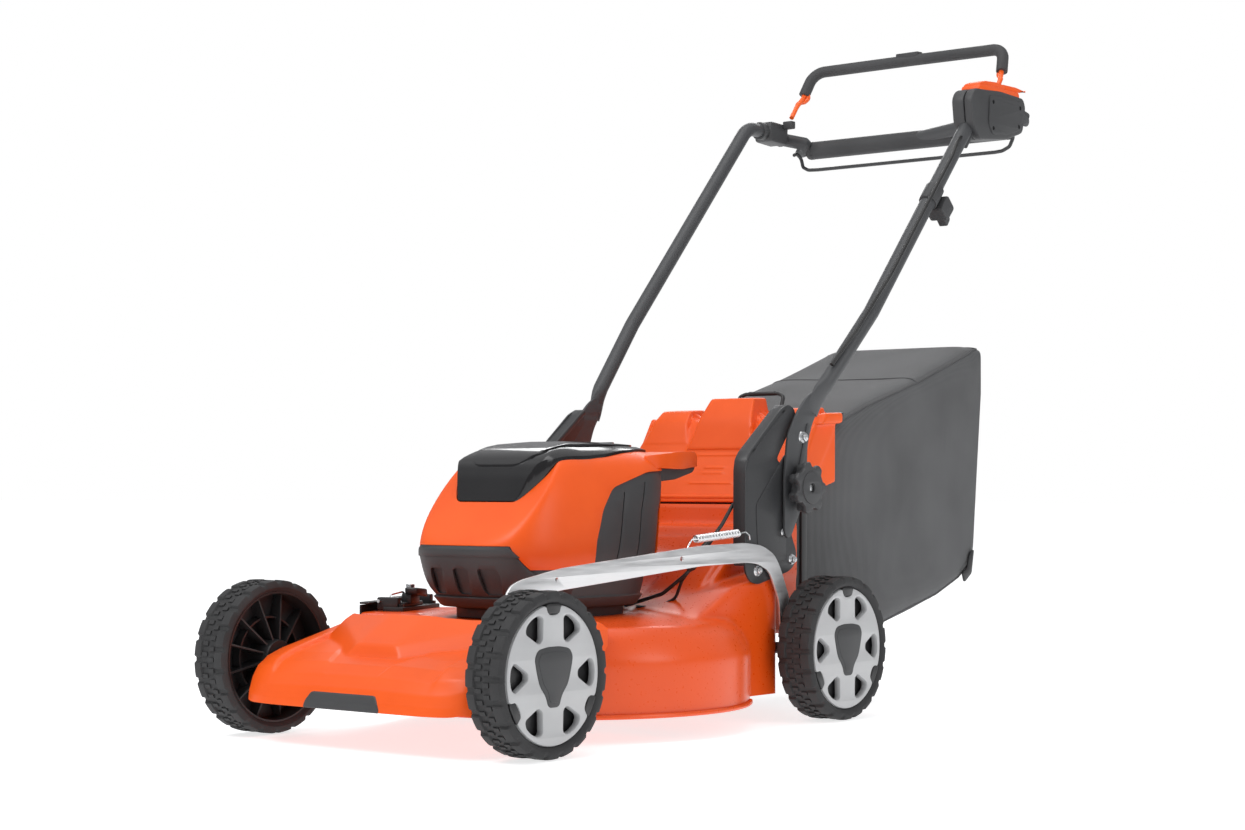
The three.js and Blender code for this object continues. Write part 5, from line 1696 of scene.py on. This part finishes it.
leaf = [door_block(252.2, 255, -42.6, 112.6, 41.4, 163, 1.0),
        door_block(HINGE_REACH + 9, 255, -42.6, 112.6, HINGE_Z - 4, HINGE_Z - 1, 1.0),
        door_block(HINGE_REACH, HINGE_REACH + 11, -13.6, 83.6, HINGE_Z - 4, HINGE_Z - 1, 1.0),
        door_block(254, 256.4, -30, 100, 60, 64, 0.9), door_block(254, 256.4, -30, 100, 140, 144, 0.9),
        door_block(254, 256.4, -30, -26, 62, 142, 0.9), door_block(254, 256.4, 96, 100, 62, 142, 0.9)]
for s in (-13.6, 20, 53):
    leaf.append(bar(4, (HINGE_REACH, BLADE_Y + s, HINGE_Z), (HINGE_REACH, BLADE_Y + s + 30, HINGE_Z), sides=24))
at_door(joined("leaf", leaf), "discharge_door", black_nylon, "side_door", "dark_plastic", "side_door")
seat = [door_block(196, HINGE_REACH - 6, -30, 100, 153, 160), door_block(200, 226, 20, 86, 159, 166, 2.0),
        door_block(196, 211, 41, 73, 163, 178, 2.5)]
paddle = plate("paddle", softened([(38, 172), (76, 176), (78, 186), (40, 183)], 4), 186, 204, "X", 1.5)
paddle.data.transform(Matrix.Translation((0, BLADE_Y * MM, 0)))
seat.append(paddle)
for s in (-28, 86):
    seat.append(door_block(205, HINGE_REACH + 4, s, s + 12, 156.3, 173, 2.0))
for r, s in ((203, -20), (203, 92)):
    seat.append(bar(4.5, (r, BLADE_Y + s, 159), (r, BLADE_Y + s, 164), sides=6))
at_door(joined("seat", seat), "discharge_hinge", black_nylon, "chassis", "dark_plastic", "door_hinge")
pin = bar(2.2, (HINGE_REACH, BLADE_Y - 32, HINGE_Z), (HINGE_REACH, BLADE_Y + 102, HINGE_Z), sides=20)
turns_of_spring = 9
coil = [(HINGE_REACH + 5.6 * math.cos(2 * math.pi * k / 14), BLADE_Y - 15.4 + 0.9 * k / 14 * 2.4 - 0.0,
         HINGE_Z + 5.6 * math.sin(2 * math.pi * k / 14)) for k in range(14 * turns_of_spring)]
torsion = rod("torsion", coil, 0.95, bend=0.5, fine=2, step=40)
catch = rod("catch", [(214, BLADE_Y + 96, 166), (222, BLADE_Y + 84, 176), (210, BLADE_Y + 70, 180),
                      (206, BLADE_Y + 60, 170), (212, BLADE_Y + 40, 167)], 1.5, bend=5, fine=3)
clamp_screw = bar(6, (203, BLADE_Y + 60, 177), (203, BLADE_Y + 60, 190), sides=24)
rounded(clamp_screw, 1.0)
at_door(joined("hinge_metal", [pin, torsion, catch, clamp_screw]), "discharge_hinge_metal", zinc, "chassis",
        "zinc")

# %% [markdown]
# Under the lid is the battery, a black block with a folding bail handle, ribs down its sides and a light
# grey release, standing in a tray. Below it the motor turns the blade. They only show when the lid is
# up or the machine is on its side, but each is made at its own size with its own edges.

# %% Battery, tray and motor
low, high = corners("battery_pack")
pack = [rounded(block(low.x, high.x, low.y, high.y, low.z, 288, "pack"), 5, 4)]
for y in range(-108, 20, 12):
    for side in (1, -1):
        pack.append(rounded(block(side * 44.5, side * 46, y, y + 5, 222, 276, "pack_rib"), 0.6, 2))
pack.append(rounded(block(-32, 32, -14, 16, 286, 290, "pack_pad"), 1.5, 3))
bow = [(-35, -49, 287), (-35, -49, 302), (35, -49, 302), (35, -49, 287)]
pack.append(rod("pack_handle", bow, 4.0, bend=9, fine=4))
fit(joined("battery_block", pack), charcoal, "battery", "dark_plastic", "battery_pack")
button = rounded(block(-12, 12, -4, 8, 288, 291.5, "release"), 1.2, 3)
fit(named_piece(button, "battery_release_button"), cover_orange, "battery", "orange_plastic")

low, high = corners("battery_tray")
tray = rounded(block(low.x, high.x, low.y, high.y, low.z, high.z, "tray"), 3, 3)
cut_away(tray, block(-47.4, 47.4, -123.4, 25.4, 209.6, 320))
rails = [rounded(block(side * 47, side * 49, -100, 4, 214, 286, "rail"), 0.8, 2) for side in (1, -1)]
rim = plate("tray_rim", softened([(-56, -132), (56, -132), (56, 34), (-56, 34)], 6), 287, 291.6, "Z", 1.2,
            [softened([(-47.4, -123.4), (47.4, -123.4), (47.4, 25.4), (-47.4, 25.4)], 4)])
fit(joined("battery_well", [tray, rim, *rails]), black_nylon, "chassis", "dark_plastic", "battery_tray")

motor_sections = [(152.6, 9), (152.6, 32), (158, 32), (158.4, 45), (162, 47), (170, 47), (171, 46), (174, 46),
                  (175, 47), (188, 47), (189, 46), (192, 46), (193, 47), (197, 46.6), (201.5, 42), (203, 38),
                  (203, 9)]
turns = 2 * math.pi * np.arange(72) / 72
motor_can = loft("motor_can", [[(r * math.cos(t), BLADE_Y + r * math.sin(t), z) for t in turns]
                               for z, r in motor_sections], close_ends=False)
edit(motor_can)
pick(motor_can, "EDGE", lambda e: e.is_boundary)
bpy.ops.mesh.bridge_edge_loops()
bpy.ops.mesh.select_all(action="SELECT")
bpy.ops.mesh.normals_make_consistent(inside=False)
leave()
fit(motor_can, zinc, "chassis", "zinc", "motor")

# %% [markdown]
# The blade is forged bar: flat at the hub, twisted down to a ground edge on each leading side, with the
# tail of each end turned up as a wing that throws the grass. It is lofted along its length with a
# section whose pitch and height change, then held by a hub and one bolt.

# %% Blade
BLADE_HALF = corners("blade")[1].x
stations = []
for x in np.linspace(-BLADE_HALF, BLADE_HALF, 61):
    reach = abs(x) / BLADE_HALF
    turn = math.copysign(1, x)
    wing = max(0.0, (reach - 0.62) / 0.38) ** 1.5
    keen = min(1.0, max(0.0, (reach - 0.5) / 0.06))
    lead, tail = -24.0 + 2 * wing, 24.0
    section = [(lead, 49 - 2.4), (lead + 7 * keen, 49 - 4.6), (tail - 12, 44.4),
               (tail, 44.4 + 11 * wing), (tail - 1, 49 + 8.4 * wing), (tail - 12, 49), (lead + 9, 49),
               (lead + 7 * keen, 49 - 0.2)]
    stations.append([(x, BLADE_Y + turn * y, z) for y, z in section])
half = len(stations) // 2
for k in range(half - 3, half + 4):
    x = stations[k][0][0]
    stations[k] = [(x, BLADE_Y + y, z) for y, z in ((-24, 46.6), (-24, 44.4), (12, 44.4), (24, 44.4), (24, 49),
                                                   (12, 49), (-15, 49), (-24, 48.8))]
arms = [loft("arm_left", stations[half:]), loft("arm_right", [list(ring) for ring in stations[:half + 1]])]
blade = joined("blade_bar", arms)
rounded(blade, 0.5, 2, 50)
fit(blade, blade_steel, "blade", "blade_steel", "blade", angle=25)

hub_sections = [(49.2, 34), (53, 34), (56, 30), (62, 22), (80, 19), (84, 14), (150, 12.5), (150, 8.4), (186, 8.2)]
hub = loft("blade_carrier", [[(r * math.cos(t), BLADE_Y + r * math.sin(t), z) for t in turns]
                             for z, r in hub_sections])
fit(hub, black_steel, "blade", "black_steel", "blade_hub")
head = [bar(10.6, (0, BLADE_Y, 31.2), (0, BLADE_Y, 39.5), sides=6), bar(15, (0, BLADE_Y, 39), (0, BLADE_Y, 44)),
        bar(6, (0, BLADE_Y, 44), (0, BLADE_Y, 49.4))]
for part in head[:2]:
    rounded(part, 1.0)
fit(joined("blade_screw", head), zinc, "blade", "zinc", "blade_bolt")
print("inside parts made")
